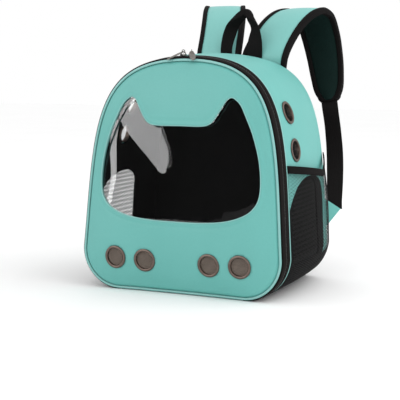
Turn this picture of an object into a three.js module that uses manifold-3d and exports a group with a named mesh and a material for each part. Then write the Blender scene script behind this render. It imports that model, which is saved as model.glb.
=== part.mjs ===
// Pet carrier backpack: a domed zip door with a cat-head window, a padded band round the bag,
// net side pockets, two padded straps and a webbing handle.
// Millimetres, +Z up, the door faces -Y, the origin is the centre of the base.
import * as THREE from "three";
import { mergeVertices } from "three/addons/utils/BufferGeometryUtils.js";
import Module from "manifold-3d";

// Body
const BODY_WIDTH = 301;
const BODY_HEIGHT = 322.3;
const BODY_DEPTH = 205;
const CORNER_RADIUS = 56;
const SIDE_LEAN = 0.0775;
const SIDE_REACH = 171.4;
const TOP_REACH = 142.8;
const DOOR_LEAN = 0.0577;
const DOOR_EDGE_BOW = 6.8;
const BOW_HALF_WIDTH = 150;
const SIDE_SWELL = 6.5;
const REAR_WIDTH_SCALE = 0.965;
const REAR_HEIGHT_SCALE = 1.0072;
const BAND_WALL = 3;
const GAP = 0.3;
const FRONT_Y = -BODY_DEPTH / 2;
const BACK_Y = BODY_DEPTH / 2;

// Door, from its front edge backwards
const DOOR_DOME = 17;
const DOOR_DOME_POWER = 4;
const DOOR_WALL = 4;
const DOOR_CENTRE_Z = 150;
const PIPING_RADIUS = 1.7;
const PIPING_INSET = 0.8;
const FILM_THICKNESS = 0.8;
const FILM_LAP = 8;
const TAPE_FRONT_DEPTH = 2 * PIPING_RADIUS + GAP;
const COIL_FRONT_DEPTH = 12.3;
const COIL_WIDTH = 3.4;
const TAPE_REAR_END = 25.2;
const BAND_FRONT_DEPTH = TAPE_REAR_END + GAP;
const TAPE_TOP = -1.2;
const TAPE_THICKNESS = 2.6;
const COIL_RISE = 1.3;
const HINGE_TOP = 0.2;
const HINGE_THICKNESS = 2.4;

// Back
const BACK_THICKNESS = 7;
const BACK_INSET = BAND_WALL + GAP;

// Steps of the outline
const BASE_STEPS = 2;
const CORNER_STEPS = 6;
const SIDE_STEPS = 14;
const BAND_STEPS = 4;

// Cat-head window, right half from the top middle to the bottom middle: x, z
const WINDOW_HALF = [
  [0, 231.8],
  [34, 231.8],
  [46, 235],
  [54, 243.5],
  [63, 258.5],
  [68.5, 267],
  [75, 270],
  [82, 266.5],
  [89, 259],
  [97.5, 242.5],
  [107, 221],
  [116, 190],
  [119.6, 160],
  [118, 138.5],
  [111, 125],
  [98, 115],
  [75, 107],
  [42, 102.8],
  [0, 101.8],
];

// Vents
const VENT_OUTER_RADIUS = 16.2;
const VENT_BARREL_RADIUS = 14.2;
const VENT_BORE_RADIUS = 12.4;
const VENT_FLANGE = 1.4;
const VENT_BARREL_LENGTH = 5.5;
const VENT_SEGMENTS = 14;
const VENT_MESH_THICKNESS = 0.8;
// name, x, z on the door
const DOOR_VENTS = [
  ["door_outer_left", -94, 47],
  ["door_inner_left", -48.5, 45.5],
  ["door_inner_right", 48.5, 45.5],
  ["door_outer_right", 94, 47],
];
// name, depth behind the door edge, z on the side
const SIDE_VENTS = [
  ["upper_right", 63, 249],
  ["lower_right", 65, 198.5],
  ["upper_left", 94, 256],
  ["lower_left", 91, 213],
];

// Arched side window and net pocket
const ARCH_FRONT_Y = -66;
const ARCH_CROWN_Y = 8;
const ARCH_REAR_Y = 40;
const ARCH_BASE_Z = 46;
const ARCH_FRONT_SPRING_Z = 112;
const ARCH_REAR_SPRING_Z = 140;
const ARCH_TOP_Z = 162;
const SIDE_MESH_OUT = 0.9;
const SIDE_MESH_THICKNESS = 1.2;
const POCKET_FRONT_DEPTH = 28;
const POCKET_REAR_DEPTH = 202;
const POCKET_TOP_Z = 175;
const POCKET_SAG = 16;
const POCKET_REAR_RISE = 22;
const POCKET_RISE_START = 158;
const POCKET_SWELL = 15;
const POCKET_SWELL_POWER = 1.6;
const POCKET_STEPS = 8;
const NET_STAND = 0.45;
const NET_THICKNESS = 1.2;
const ELASTIC_HEIGHT = 9;
const ELASTIC_THICKNESS = 1.8;

// Straps: x, y, z, half width, turn of the width about +Z in degrees
const STRAP_PATH = [
  [37, 108.7, 308, 35.5, 0],
  [37.5, 110, 328, 35.5, 0],
  [41.5, 127, 354, 35, 0],
  [50, 154, 380, 34.5, 0],
  [60.5, 182, 394.5, 33.5, 0],
  [69.5, 208, 397, 32.5, 0],
  [78, 229, 386, 31.5, 0],
  [85, 237, 360, 30.5, 0],
  [94, 232, 328, 28.5, 0],
  [102.5, 220.5, 297, 26, 0],
  [109.5, 208.5, 271, 21.5, 0],
  [113.5, 201.3, 254, 12, 0],
];
// side, how much higher the arch of that strap stands, how far its rise leans outwards
const STRAP_SIDES = [
  ["right", 0, 5],
  ["left", 6, -2.5],
];
const STRAP_LEAN_ROWS = 6;
const STRAP_STEPS = 22;
const STRAP_FACE = 2.4;
const STRAP_PAD = 7;
const STRAP_END_BINDING = 0.03;
const BINDING_WIDTH = 8;
const BINDING_PROUD = 0.3;
const WEBBING_HALF = 12.5;
const WEBBING_SEWN = [0.88, 0.96];
const WEBBING_PATH = [
  [119, 186.5, 244, 12.5, 0],
  [126.5, 176.5, 217, 12.5, 0],
  [136, 159, 179, 12.5, 12],
  [143.6, 138, 145, 12.5, 32],
  [148.6, 122, 116, 12.5, 47],
  [149.9, 119.2, 100, 12.5, 47.5],
];
const WEBBING_STEPS = 12;
const WEBBING_THICKNESS = 1.8;
const TAB_SEAM_X = 139.5;
const TAB_SEAM_Y = BACK_Y + GAP;
const TAB_TOP_Z = 117;
const TAB_BOTTOM_Z = 71;
const TAB_TIP = [158, 123, 100];
const TAB_THICKNESS = 2;

// Handle: x, y, z, half width, turn of the width about +Z in degrees
const HANDLE_PATH = [
  [-21, 104.1, 310, 9.3, 0],
  [-21, 104.1, 328, 9.3, 0],
  [-20, 104.4, 343, 9.3, 6],
  [-14, 108, 367, 10, 40],
  [-3, 113, 389, 11, 75],
  [7.5, 115, 396, 10.5, 90],
  [17, 113, 389, 11, 105],
  [24, 108, 367, 12, 140],
  [25.5, 104.4, 343, 12.5, 174],
  [25, 104.1, 328, 12.5, 180],
  [25, 104.1, 310, 12.5, 180],
];
const HANDLE_STEPS = 24;
const HANDLE_THICKNESS = 2.4;

// Zip sliders: name, x, yaw of the pull from straight forward, its slope, its length
const SLIDERS = [
  ["left", -8.5, -42, 25, 27],
  ["right", 4, 30, 27, 27],
];
const SLIDER_LENGTH = 8;
const SLIDER_WIDTH = 6.4;
const SLIDER_HEIGHT = 1.7;
const SLIDER_DEPTH = COIL_FRONT_DEPTH + COIL_WIDTH / 2;
const BRIDGE_HALF = 3.4;
const BRIDGE_RISE = 4.3;
const BRIDGE_BAR = 1.4;
const PULL_EYE_RADIUS = 1.7;
const PULL_BAR = 1;
const PULL_WIDTH = 8.5;
const PULL_THICKNESS = 1.3;

const MINT = 0x79c1bb;
const MINT_PIPING = 0x8accc6;
const BLACK = 0x1c1b1c;
const ZIP_BLACK = 0x262120;
const PAD_DARK = 0x222c2b;
const METAL = 0x6d6a65;
const RING_METAL = 0x665d54;
const FILM_CLEAR = 0xb8c4c4;

const wasm = await Module();
wasm.setup();
const bag = new THREE.Group();
bag.name = "pet_carrier_backpack";

function addPiece(name, geometry, color, roughness, metalness = 0) {
  const material = new THREE.MeshStandardMaterial({ color, roughness, metalness });
  const mesh = new THREE.Mesh(geometry, material);
  mesh.name = name;
  bag.add(mesh);
  return mesh;
}

function signedVolume(positions, faces) {
  let total = 0;
  for (let f = 0; f < faces.length; f += 3) {
    const [a, b, c] = [0, 1, 2].map((k) => new THREE.Vector3().fromArray(positions, 3 * faces[f + k]));
    total += a.dot(b.cross(c));
  }
  return total / 6;
}

function closedGeometry(points, faces) {
  const positions = points.flatMap((p) => [p.x, p.y, p.z]);
  if (signedVolume(positions, faces) < 0) faces.reverse();
  const geometry = new THREE.BufferGeometry();
  geometry.setAttribute("position", new THREE.Float32BufferAttribute(positions, 3));
  geometry.setIndex(faces);
  geometry.computeVertexNormals();
  return geometry;
}

// A solid through a row of sections that all have the same number of points.
function loft(sections, closed = false) {
  const size = sections[0].length;
  const faces = [];
  const rows = closed ? sections.length : sections.length - 1;
  for (let r = 0; r < rows; r++) {
    const next = (r + 1) % sections.length;
    for (let k = 0; k < size; k++) {
      const a = r * size + k;
      const b = r * size + ((k + 1) % size);
      const c = next * size + ((k + 1) % size);
      const d = next * size + k;
      faces.push(a, b, c, a, c, d);
    }
  }
  if (!closed) {
    const last = (sections.length - 1) * size;
    for (let k = 1; k < size - 1; k++) {
      faces.push(0, k + 1, k);
      faces.push(last, last + k, last + k + 1);
    }
  }
  return closedGeometry(sections.flat(), faces);
}

function solidOf(geometry) {
  const bare = geometry.clone();
  bare.deleteAttribute("normal");
  bare.deleteAttribute("uv");
  const merged = mergeVertices(bare, 1e-4);
  return new wasm.Manifold(
    new wasm.Mesh({
      numProp: 3,
      vertProperties: merged.attributes.position.array,
      triVerts: new Uint32Array(merged.index.array),
    }),
  );
}

function geometryOf(solid) {
  const mesh = solid.getMesh();
  const geometry = new THREE.BufferGeometry();
  geometry.setAttribute("position", new THREE.Float32BufferAttribute(mesh.vertProperties, 3));
  geometry.setIndex(Array.from(mesh.triVerts));
  geometry.computeVertexNormals();
  return geometry;
}

function cut(geometry, tools) {
  return geometryOf(tools.reduce((left, tool) => left.subtract(solidOf(tool)), solidOf(geometry)));
}

function mirrored(geometry) {
  const copy = geometry.clone();
  const positions = copy.attributes.position;
  for (let i = 0; i < positions.count; i++) positions.setX(i, -positions.getX(i));
  copy.setIndex(Array.from(copy.index.array).reverse());
  copy.computeVertexNormals();
  return copy;
}

function addPair(name, right, color, roughness) {
  addPiece(`${name}_right`, right, color, roughness);
  addPiece(`${name}_left`, mirrored(right), color, roughness);
}

// The outline of the bag seen from the front: u 0 to 1 along the base, 1 to 2 round the corner,
// 2 to 3 up the side to the top middle.
function outlinePoint(u) {
  const flat = BODY_WIDTH / 2 - CORNER_RADIUS;
  if (u <= 1) return new THREE.Vector2(flat * u, 0);
  if (u <= 2) {
    const turn = ((u - 1) * Math.PI) / 2;
    return new THREE.Vector2(flat + CORNER_RADIUS * Math.sin(turn), CORNER_RADIUS * (1 - Math.cos(turn)));
  }
  const side = new THREE.CubicBezierCurve(
    new THREE.Vector2(BODY_WIDTH / 2, CORNER_RADIUS),
    new THREE.Vector2(BODY_WIDTH / 2 - SIDE_LEAN * SIDE_REACH, CORNER_RADIUS + SIDE_REACH),
    new THREE.Vector2(TOP_REACH, BODY_HEIGHT),
    new THREE.Vector2(0, BODY_HEIGHT),
  );
  return side.getPoint(u - 2);
}

// u runs from -3 (top middle, left way) through 0 (base middle) to 3 (top middle, right way).
function outline(u) {
  const side = u < 0 ? -1 : 1;
  const here = outlinePoint(Math.abs(u));
  const low = outlinePoint(Math.max(Math.abs(u) - 0.01, 0));
  const high = outlinePoint(Math.min(Math.abs(u) + 0.01, 3));
  const along = high.sub(low).normalize();
  return { x: side * here.x, z: here.y, nx: side * along.y, nz: -along.x };
}

function doorEdgeY(x, z) {
  return FRONT_Y + DOOR_LEAN * z - DOOR_EDGE_BOW * (x / BOW_HALF_WIDTH) ** 2;
}

// A point of the bag's skin at a depth behind the door edge, moved inwards by inset.
function skin(u, depth, inset) {
  const point = outline(u);
  const t = depth / BODY_DEPTH;
  const sideways = Math.min(1, Math.max(0, 1 + point.nz));
  const swell = SIDE_SWELL * 4 * t * (1 - t) * sideways - inset;
  const x = (point.x + point.nx * swell) * (1 + (REAR_WIDTH_SCALE - 1) * t);
  const z = (point.z + point.nz * swell) * (1 + (REAR_HEIGHT_SCALE - 1) * t);
  const front = doorEdgeY(x, z);
  return new THREE.Vector3(x, front + (BACK_Y - front) * t, z);
}

function steps(from, to, count) {
  return Array.from({ length: count + 1 }, (_, k) => from + ((to - from) * k) / count);
}

function loopSteps() {
  const right = [
    ...steps(0, 1, BASE_STEPS),
    ...steps(1, 2, CORNER_STEPS).slice(1),
    ...steps(2, 3, SIDE_STEPS).slice(1),
  ];
  const left = right.slice(1, -1).reverse().map((u) => -u);
  return [...right, ...left];
}

const LOOP = loopSteps();

// The part of the loop that the zip follows: from the right corner over the top to the left corner.
const ZIP_LOOP = LOOP.filter((u) => Math.abs(u) >= 1);
const HINGE_LOOP = steps(-1, 1, 2 * BASE_STEPS);

function bandSections(loop, depths, outset, inset) {
  return loop.map((u) => [
    ...depths.map((depth) => skin(u, depth, outset)),
    ...[...depths].reverse().map((depth) => skin(u, depth, inset)),
  ]);
}

// The outline step at which the skin reaches a height, at a depth behind the door edge.
function outlineAtHeight(z, depth) {
  let low = 1;
  let high = 3;
  for (let pass = 0; pass < 40; pass++) {
    const middle = (low + high) / 2;
    if (skin(middle, depth, 0).z < z) low = middle;
    else high = middle;
  }
  return low;
}

// How far a point of the door lies from its centre towards its edge, 0 to 1.
const DOOR_INSET = PIPING_INSET + 2 * PIPING_RADIUS + GAP;
const DOOR_OUTLINE = LOOP.map((u) => {
  const edge = skin(u, 0, DOOR_INSET);
  return new THREE.Vector2(edge.x, edge.z - DOOR_CENTRE_Z);
});

function doorReach(x, z) {
  const aim = new THREE.Vector2(x, z - DOOR_CENTRE_Z);
  for (let k = 0; k < DOOR_OUTLINE.length; k++) {
    const a = DOOR_OUTLINE[k];
    const b = DOOR_OUTLINE[(k + 1) % DOOR_OUTLINE.length];
    const side = b.clone().sub(a);
    const turn = aim.cross(side);
    const along = a.cross(side) / turn;
    const across = a.cross(aim) / turn;
    if (along > 0 && across >= 0 && across <= 1) return 1 / along;
  }
  return 0;
}

function doorY(x, z) {
  const reach = Math.min(1, doorReach(x, z));
  return doorEdgeY(x, z) - DOOR_DOME * (1 - reach ** DOOR_DOME_POWER);
}

// A domed sheet that follows the door between two offsets behind its face.
function doorSheet(front, back) {
  const rings = [0.45, 0.7, 0.88, 1];
  const points = [];
  const around = DOOR_OUTLINE.length;
  for (const offset of [front, back]) {
    points.push(new THREE.Vector3(0, doorY(0, DOOR_CENTRE_Z) + offset, DOOR_CENTRE_Z));
    for (const ring of rings) {
      for (const edge of DOOR_OUTLINE) {
        const x = edge.x * ring;
        const z = edge.y * ring + DOOR_CENTRE_Z;
        const dome = DOOR_DOME * (1 - ring ** DOOR_DOME_POWER);
        points.push(new THREE.Vector3(x, doorEdgeY(x, z) - dome + offset, z));
      }
    }
  }
  const side = 1 + rings.length * around;
  const faces = [];
  for (let k = 0; k < around; k++) {
    const next = (k + 1) % around;
    faces.push(0, 1 + k, 1 + next);
    faces.push(side, side + 1 + next, side + 1 + k);
    for (let r = 0; r < rings.length - 1; r++) {
      const a = 1 + r * around + k;
      const b = 1 + r * around + next;
      faces.push(a, a + around, b + around, a, b + around, b);
      faces.push(side + a, side + b + around, side + a + around, side + a, side + b, side + b + around);
    }
    const rim = 1 + (rings.length - 1) * around;
    faces.push(rim + k, side + rim + k, side + rim + next, rim + k, side + rim + next, rim + next);
  }
  return closedGeometry(points, faces);
}

// The cat head as a closed shape, grown outwards by an amount.
function windowShape(grow) {
  const right = WINDOW_HALF.map(([x, z]) => new THREE.Vector2(x, z));
  const left = right.slice(1, -1).reverse().map((p) => new THREE.Vector2(-p.x, p.y));
  const corners = [...right, ...left];
  const grown = corners.map((p, k) => {
    const before = corners[(k + corners.length - 1) % corners.length];
    const after = corners[(k + 1) % corners.length];
    const along = after.clone().sub(before).normalize();
    return new THREE.Vector2(p.x - along.y * grow, p.y + along.x * grow);
  });
  return new THREE.Shape(grown);
}

// A prism through the door, along Y.
function doorPrism(shape) {
  const prism = new THREE.ExtrudeGeometry(shape, { depth: 80, bevelEnabled: false });
  prism.rotateX(Math.PI / 2);
  prism.translate(0, FRONT_Y + 50, 0);
  return prism;
}

// A prism through the right side, along X, from a shape drawn in Y and Z.
function sidePrism(shape) {
  const prism = new THREE.ExtrudeGeometry(shape, { depth: 80, bevelEnabled: false });
  const turn = new THREE.Matrix4().makeBasis(
    new THREE.Vector3(0, 1, 0),
    new THREE.Vector3(0, 0, 1),
    new THREE.Vector3(1, 0, 0),
  );
  prism.applyMatrix4(turn);
  prism.translate(110, 0, 0);
  return prism;
}

function archShape(shrink) {
  const front = ARCH_FRONT_Y + shrink;
  const rear = ARCH_REAR_Y - shrink;
  const top = ARCH_TOP_Z - shrink;
  const shape = new THREE.Shape();
  shape.moveTo(front, ARCH_BASE_Z + shrink);
  shape.lineTo(rear, ARCH_BASE_Z + shrink);
  shape.lineTo(rear, ARCH_REAR_SPRING_Z);
  const quarter = Math.PI / 2;
  shape.absellipse(
    ARCH_CROWN_Y, ARCH_REAR_SPRING_Z, rear - ARCH_CROWN_Y, top - ARCH_REAR_SPRING_Z, 0, quarter,
  );
  shape.absellipse(
    ARCH_CROWN_Y, ARCH_FRONT_SPRING_Z, ARCH_CROWN_Y - front, top - ARCH_FRONT_SPRING_Z, quarter, 2 * quarter,
  );
  return shape;
}

// A turned ring about a centre: profile rows are radius and height along the outward axis.
function turned(profile, place, segments) {
  const sections = steps(0, 2 * Math.PI, segments)
    .slice(0, -1)
    .map((turn) =>
      profile.map(([radius, height]) =>
        new THREE.Vector3(radius * Math.cos(turn), radius * Math.sin(turn), height).applyMatrix4(place),
      ),
    );
  return loft(sections, true);
}

function disc(radius, bottom, top, place, segments) {
  const circle = (height) =>
    steps(0, 2 * Math.PI, segments)
      .slice(0, -1)
      .map((turn) =>
        new THREE.Vector3(radius * Math.cos(turn), radius * Math.sin(turn), height).applyMatrix4(place),
      );
  return loft([circle(bottom), circle(top)]);
}

// A frame at a point of the surface with its third axis pointing out of the bag.
function outwardFrame(point, alongU, alongV) {
  const out = alongU.clone().cross(alongV).normalize();
  const first = alongU.clone().normalize();
  const second = out.clone().cross(first);
  return new THREE.Matrix4().makeBasis(first, second, out).setPosition(point);
}

function doorFrame(x, z) {
  const at = (dx, dz) => new THREE.Vector3(x + dx, doorY(x + dx, z + dz), z + dz);
  const reach = 8;
  return outwardFrame(at(0, 0), at(reach, 0).sub(at(-reach, 0)), at(0, reach).sub(at(0, -reach)));
}

function sideFrame(depth, z) {
  const u = outlineAtHeight(z, depth);
  const across = skin(u, depth + 5, 0).sub(skin(u, depth - 5, 0));
  const up = skin(u + 0.03, depth, 0).sub(skin(u - 0.03, depth, 0));
  return outwardFrame(skin(u, depth, 0), across, up);
}

const VENT_PROFILE = [
  [VENT_BORE_RADIUS, -VENT_BARREL_LENGTH],
  [VENT_BARREL_RADIUS, -VENT_BARREL_LENGTH],
  [VENT_BARREL_RADIUS, GAP],
  [VENT_OUTER_RADIUS, GAP],
  [VENT_OUTER_RADIUS - 0.7, GAP + VENT_FLANGE],
  [VENT_BORE_RADIUS, GAP + VENT_FLANGE],
];

function ventRing(place) {
  return turned(VENT_PROFILE, place, VENT_SEGMENTS);
}

function ventMesh(place) {
  return disc(VENT_BORE_RADIUS - GAP, -VENT_MESH_THICKNESS, 0, place, VENT_SEGMENTS);
}

// The hole through the wall that a vent's barrel passes.
function ventSeat(place) {
  return disc(VENT_BARREL_RADIUS + GAP, -12, 12, place, VENT_SEGMENTS);
}

// A column of a path table at 0 to 1 along the path.
const HALF_WIDTH = 3;
const TURN = 4;

function pathValue(path, column, s) {
  const place = s * (path.length - 1);
  const row = Math.min(Math.floor(place), path.length - 2);
  return THREE.MathUtils.lerp(path[row][column], path[row + 1][column], place - row);
}

// A ribbon along a path table: a point at 0 to 1 along it, across its width and out of its face.
function ribbon(path) {
  const curve = new THREE.CatmullRomCurve3(path.map(([x, y, z]) => new THREE.Vector3(x, y, z)));
  return (s, across, out) => {
    const along = curve.getTangent(s);
    const turn = THREE.MathUtils.degToRad(pathValue(path, TURN, s));
    const wide = new THREE.Vector3(Math.cos(turn), Math.sin(turn), 0);
    wide.addScaledVector(along, -wide.dot(along)).normalize();
    const outward = wide.clone().cross(along);
    return curve.getPoint(s).addScaledVector(wide, across).addScaledVector(outward, out);
  };
}

function ribbonSolid(path, count, end, margin, bottom, top) {
  const place = ribbon(path);
  const sections = steps(0, end, count).map((s) => {
    const wide = pathValue(path, HALF_WIDTH, s) - margin;
    return [place(s, -wide, bottom), place(s, wide, bottom), place(s, wide, top), place(s, -wide, top)];
  });
  return loft(sections);
}

// The strap with its arch lifted, most at the middle, and its rise leaning to one side.
function strapPath(lift, lean) {
  return STRAP_PATH.map(([x, y, z, half, turn], row) => {
    const arch = Math.sin((Math.PI * row) / (STRAP_PATH.length - 1));
    const sway = Math.sin((Math.PI * Math.min(row, STRAP_LEAN_ROWS)) / STRAP_LEAN_ROWS);
    return [x + lean * sway, y, z + lift * arch, half, turn];
  });
}

// The webbing is sewn under the end of its strap and runs down to the tab.
function webbingPath(strap) {
  const under = -STRAP_PAD - BINDING_PROUD - GAP - WEBBING_THICKNESS / 2;
  const place = ribbon(strap);
  const sewn = WEBBING_SEWN.map((s) => [...place(s, 0, under).toArray(), WEBBING_HALF, 0]);
  return [...sewn, ...WEBBING_PATH];
}

// The binding goes down one edge of the strap, round its end and up the other edge.
function strapBinding(path) {
  const place = ribbon(path);
  const bottom = -STRAP_PAD - BINDING_PROUD;
  const top = STRAP_FACE + GAP + BINDING_PROUD;
  const section = (sOuter, outer, sInner, inner) => [
    place(sOuter, outer, bottom),
    place(sInner, inner, bottom),
    place(sInner, inner, top),
    place(sOuter, outer, top),
  ];
  const inEnd = 1 - STRAP_END_BINDING;
  const rows = steps(0, inEnd, STRAP_STEPS);
  const edge = (s, side) => {
    const wide = pathValue(path, HALF_WIDTH, s);
    return section(s, side * wide, s, side * (wide - BINDING_WIDTH));
  };
  const corner = (side) => {
    const outer = pathValue(path, HALF_WIDTH, 1);
    const inner = pathValue(path, HALF_WIDTH, inEnd) - BINDING_WIDTH;
    return section(1, side * outer, inEnd, side * inner);
  };
  const right = rows.slice(0, -1).map((s) => edge(s, 1));
  const left = rows.slice(0, -1).reverse().map((s) => edge(s, -1));
  return loft([...right, corner(1), corner(-1), ...left]);
}

// The pocket swells away from the side between its sewn edges; its top edge stands open,
// sags towards the back and is held up at the back seam.
function pocketTop(depth) {
  const sag = Math.min(1, (depth - POCKET_FRONT_DEPTH) / (POCKET_RISE_START - POCKET_FRONT_DEPTH));
  const rise = Math.max(0, (depth - POCKET_RISE_START) / (POCKET_REAR_DEPTH - POCKET_RISE_START));
  return POCKET_TOP_Z - POCKET_SAG * sag + POCKET_REAR_RISE * rise ** 2;
}

function pocketSwell(depth, share) {
  const along = (depth - POCKET_FRONT_DEPTH) / (POCKET_REAR_DEPTH - POCKET_FRONT_DEPTH);
  return POCKET_SWELL * Math.sin(Math.PI * along) ** 0.7 * Math.sin(0.8 * Math.PI * share ** POCKET_SWELL_POWER);
}

const POCKET_CORNER_START = 1 + 2 / CORNER_STEPS;
const POCKET_SIDE_STEPS = 4;

function pocketSheet(depth, rows, thickness) {
  const inner = rows.map(({ u, share }) => ({ u, stand: NET_STAND + pocketSwell(depth, share) }));
  const back = inner.map(({ u, stand }) => skin(u, depth, -stand));
  const face = inner.map(({ u, stand }) => skin(u, depth, -stand - thickness));
  return [...face, ...back.reverse()];
}

function pocketNet() {
  const sections = steps(POCKET_FRONT_DEPTH, POCKET_REAR_DEPTH, POCKET_STEPS).map((depth) => {
    const top = outlineAtHeight(pocketTop(depth) - ELASTIC_HEIGHT / 2 - GAP, depth);
    const corner = steps(POCKET_CORNER_START, 2, CORNER_STEPS - 2);
    const heights = [...corner, ...steps(2, top, POCKET_SIDE_STEPS).slice(1)];
    const rows = heights.map((u, k) => ({ u, share: k / (heights.length - 1) }));
    return pocketSheet(depth, rows, NET_THICKNESS);
  });
  return sheetLoft(sections);
}

function pocketElastic() {
  const sections = steps(POCKET_FRONT_DEPTH, POCKET_REAR_DEPTH, POCKET_STEPS).map((depth) => {
    const low = outlineAtHeight(pocketTop(depth) - ELASTIC_HEIGHT / 2, depth);
    const high = outlineAtHeight(pocketTop(depth) + ELASTIC_HEIGHT / 2, depth);
    const rows = [low, high].map((u) => ({ u, share: 1 }));
    return pocketSheet(depth, rows, ELASTIC_THICKNESS);
  });
  return loft(sections);
}

// A sheet whose ends are capped by strips, for sections that are long and bent.
function sheetLoft(sections) {
  const size = sections[0].length;
  const half = size / 2;
  const faces = [];
  for (let r = 0; r < sections.length - 1; r++) {
    for (let k = 0; k < size; k++) {
      const a = r * size + k;
      const b = r * size + ((k + 1) % size);
      faces.push(a, b, b + size, a, b + size, a + size);
    }
  }
  const last = (sections.length - 1) * size;
  for (let k = 0; k < half - 1; k++) {
    const opposite = size - 1 - k;
    faces.push(k, opposite, k + 1, k + 1, opposite, opposite - 1);
    faces.push(last + k, last + k + 1, last + opposite, last + k + 1, last + opposite - 1, last + opposite);
  }
  return closedGeometry(sections.flat(), faces);
}

function box(length, width, height) {
  return new THREE.BoxGeometry(length, width, height).toNonIndexed();
}

// A slider with its arched bridge, in a frame whose x follows the zip and whose z points up.
function slider() {
  const body = box(SLIDER_LENGTH, SLIDER_WIDTH, SLIDER_HEIGHT);
  body.translate(0, 0, SLIDER_HEIGHT / 2);
  const bar = BRIDGE_BAR / 2;
  const arch = loft(
    steps(0, Math.PI, 8).map((turn) =>
      [
        [-bar, -bar],
        [bar, -bar],
        [bar, bar],
        [-bar, bar],
      ].map(([out, across]) => {
        const x = (BRIDGE_HALF + out) * Math.cos(turn);
        const z = SLIDER_HEIGHT - 0.5 + (BRIDGE_RISE + out) * Math.sin(turn);
        return new THREE.Vector3(x, across, z);
      }),
    ),
  );
  return geometryOf(solidOf(body).add(solidOf(arch)));
}

// A pull in a frame whose origin is the middle of its eye and whose x points along it.
function pull(length) {
  const inner = PULL_EYE_RADIUS;
  const outer = PULL_EYE_RADIUS + PULL_BAR;
  const upright = new THREE.Matrix4().makeRotationX(Math.PI / 2);
  const half = PULL_BAR / 2;
  const eye = turned(
    [
      [inner, -half],
      [outer, -half],
      [outer, half],
      [inner, half],
    ],
    upright,
    12,
  );
  const start = inner + PULL_BAR / 2;
  const middle = (start + length) / 2;
  const plate = new THREE.Shape();
  plate.absellipse(middle, 0, (length - start) / 2, PULL_WIDTH / 2, 0, 2 * Math.PI);
  const leaf = new THREE.ExtrudeGeometry(plate, { depth: PULL_THICKNESS, bevelEnabled: false, curveSegments: 8 });
  leaf.translate(0, 0, -PULL_THICKNESS / 2);
  const neck = box(length / 2, PULL_BAR, PULL_THICKNESS);
  neck.translate(start + length / 4, 0, 0);
  return geometryOf(solidOf(eye).add(solidOf(leaf)).add(solidOf(neck)));
}

// Band and back
const bandDepths = steps(BAND_FRONT_DEPTH, BODY_DEPTH, BAND_STEPS);
const band = loft(bandSections(LOOP, bandDepths, 0, BAND_WALL), true);
const arch = geometryOf(solidOf(sidePrism(archShape(0))));
const sideVentFrames = SIDE_VENTS.map(([, depth, z]) => sideFrame(depth, z));
const onItsSide = (name, geometry) => (name.endsWith("left") ? mirrored(geometry) : geometry);
const sideSeats = SIDE_VENTS.map(([name], k) => onItsSide(name, ventSeat(sideVentFrames[k])));
addPiece("body_gusset", cut(band, [arch, mirrored(arch), ...sideSeats]), MINT, 0.75);

const backEdge = (depth) => LOOP.map((u) => skin(u, depth, BACK_INSET));
addPiece("back_panel", loft([backEdge(BODY_DEPTH - BACK_THICKNESS), backEdge(BODY_DEPTH)]), BLACK, 0.9);

// Door
const doorVentFrames = DOOR_VENTS.map(([, x, z]) => doorFrame(x, z));
const doorCuts = [doorPrism(windowShape(0)), ...doorVentFrames.map(ventSeat)];
addPiece("front_panel", cut(doorSheet(0, DOOR_WALL), doorCuts), MINT, 0.7);

const filmFront = DOOR_WALL + GAP;
const filmSheet = solidOf(doorSheet(filmFront, filmFront + FILM_THICKNESS));
const film = filmSheet.intersect(solidOf(doorPrism(windowShape(FILM_LAP))));
addPiece("window_film", geometryOf(film), FILM_CLEAR, 0.08);

const pipingSections = LOOP.map((u) =>
  steps(0, 2 * Math.PI, 6)
    .slice(0, -1)
    .map((turn) =>
      skin(u, PIPING_RADIUS * (1 - Math.cos(turn)), PIPING_INSET + PIPING_RADIUS * (1 - Math.sin(turn))),
    ),
);
addPiece("front_piping", loft(pipingSections, true), MINT_PIPING, 0.6);

// Zip
const coilRear = COIL_FRONT_DEPTH + COIL_WIDTH;
const tapeBand = (front, rear) =>
  loft(bandSections(ZIP_LOOP, [front, rear], TAPE_TOP, TAPE_TOP + TAPE_THICKNESS));
addPiece("zip_tape_front", tapeBand(TAPE_FRONT_DEPTH, COIL_FRONT_DEPTH - GAP), ZIP_BLACK, 0.85);
addPiece("zip_tape_rear", tapeBand(coilRear + GAP, TAPE_REAR_END), ZIP_BLACK, 0.85);
const coil = bandSections(ZIP_LOOP, [COIL_FRONT_DEPTH, coilRear], -COIL_RISE, TAPE_TOP + TAPE_THICKNESS);
addPiece("zip_coil", loft(coil), BLACK, 0.5);
const hinge = bandSections(HINGE_LOOP, [TAPE_FRONT_DEPTH, TAPE_REAR_END], HINGE_TOP, HINGE_TOP + HINGE_THICKNESS);
addPiece("hinge_strip", loft(hinge), MINT, 0.75);

for (const [name, x, yaw, slope, length] of SLIDERS) {
  const u = 3 - Math.abs(x) / (1.5 * TOP_REACH * 2);
  const seat = skin(x < 0 ? -u : u, SLIDER_DEPTH, -COIL_RISE - GAP - 0.5);
  const body = slider();
  body.translate(x, seat.y, seat.z);
  addPiece(`zip_slider_${name}`, body, METAL, 0.35, 0.9);
  const leaf = pull(length);
  leaf.rotateY(THREE.MathUtils.degToRad(slope));
  leaf.rotateZ(THREE.MathUtils.degToRad(-90 + yaw));
  leaf.translate(x, seat.y, seat.z + SLIDER_HEIGHT - 0.5 + BRIDGE_RISE);
  addPiece(`zip_pull_${name}`, leaf, METAL, 0.35, 0.9);
}

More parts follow.
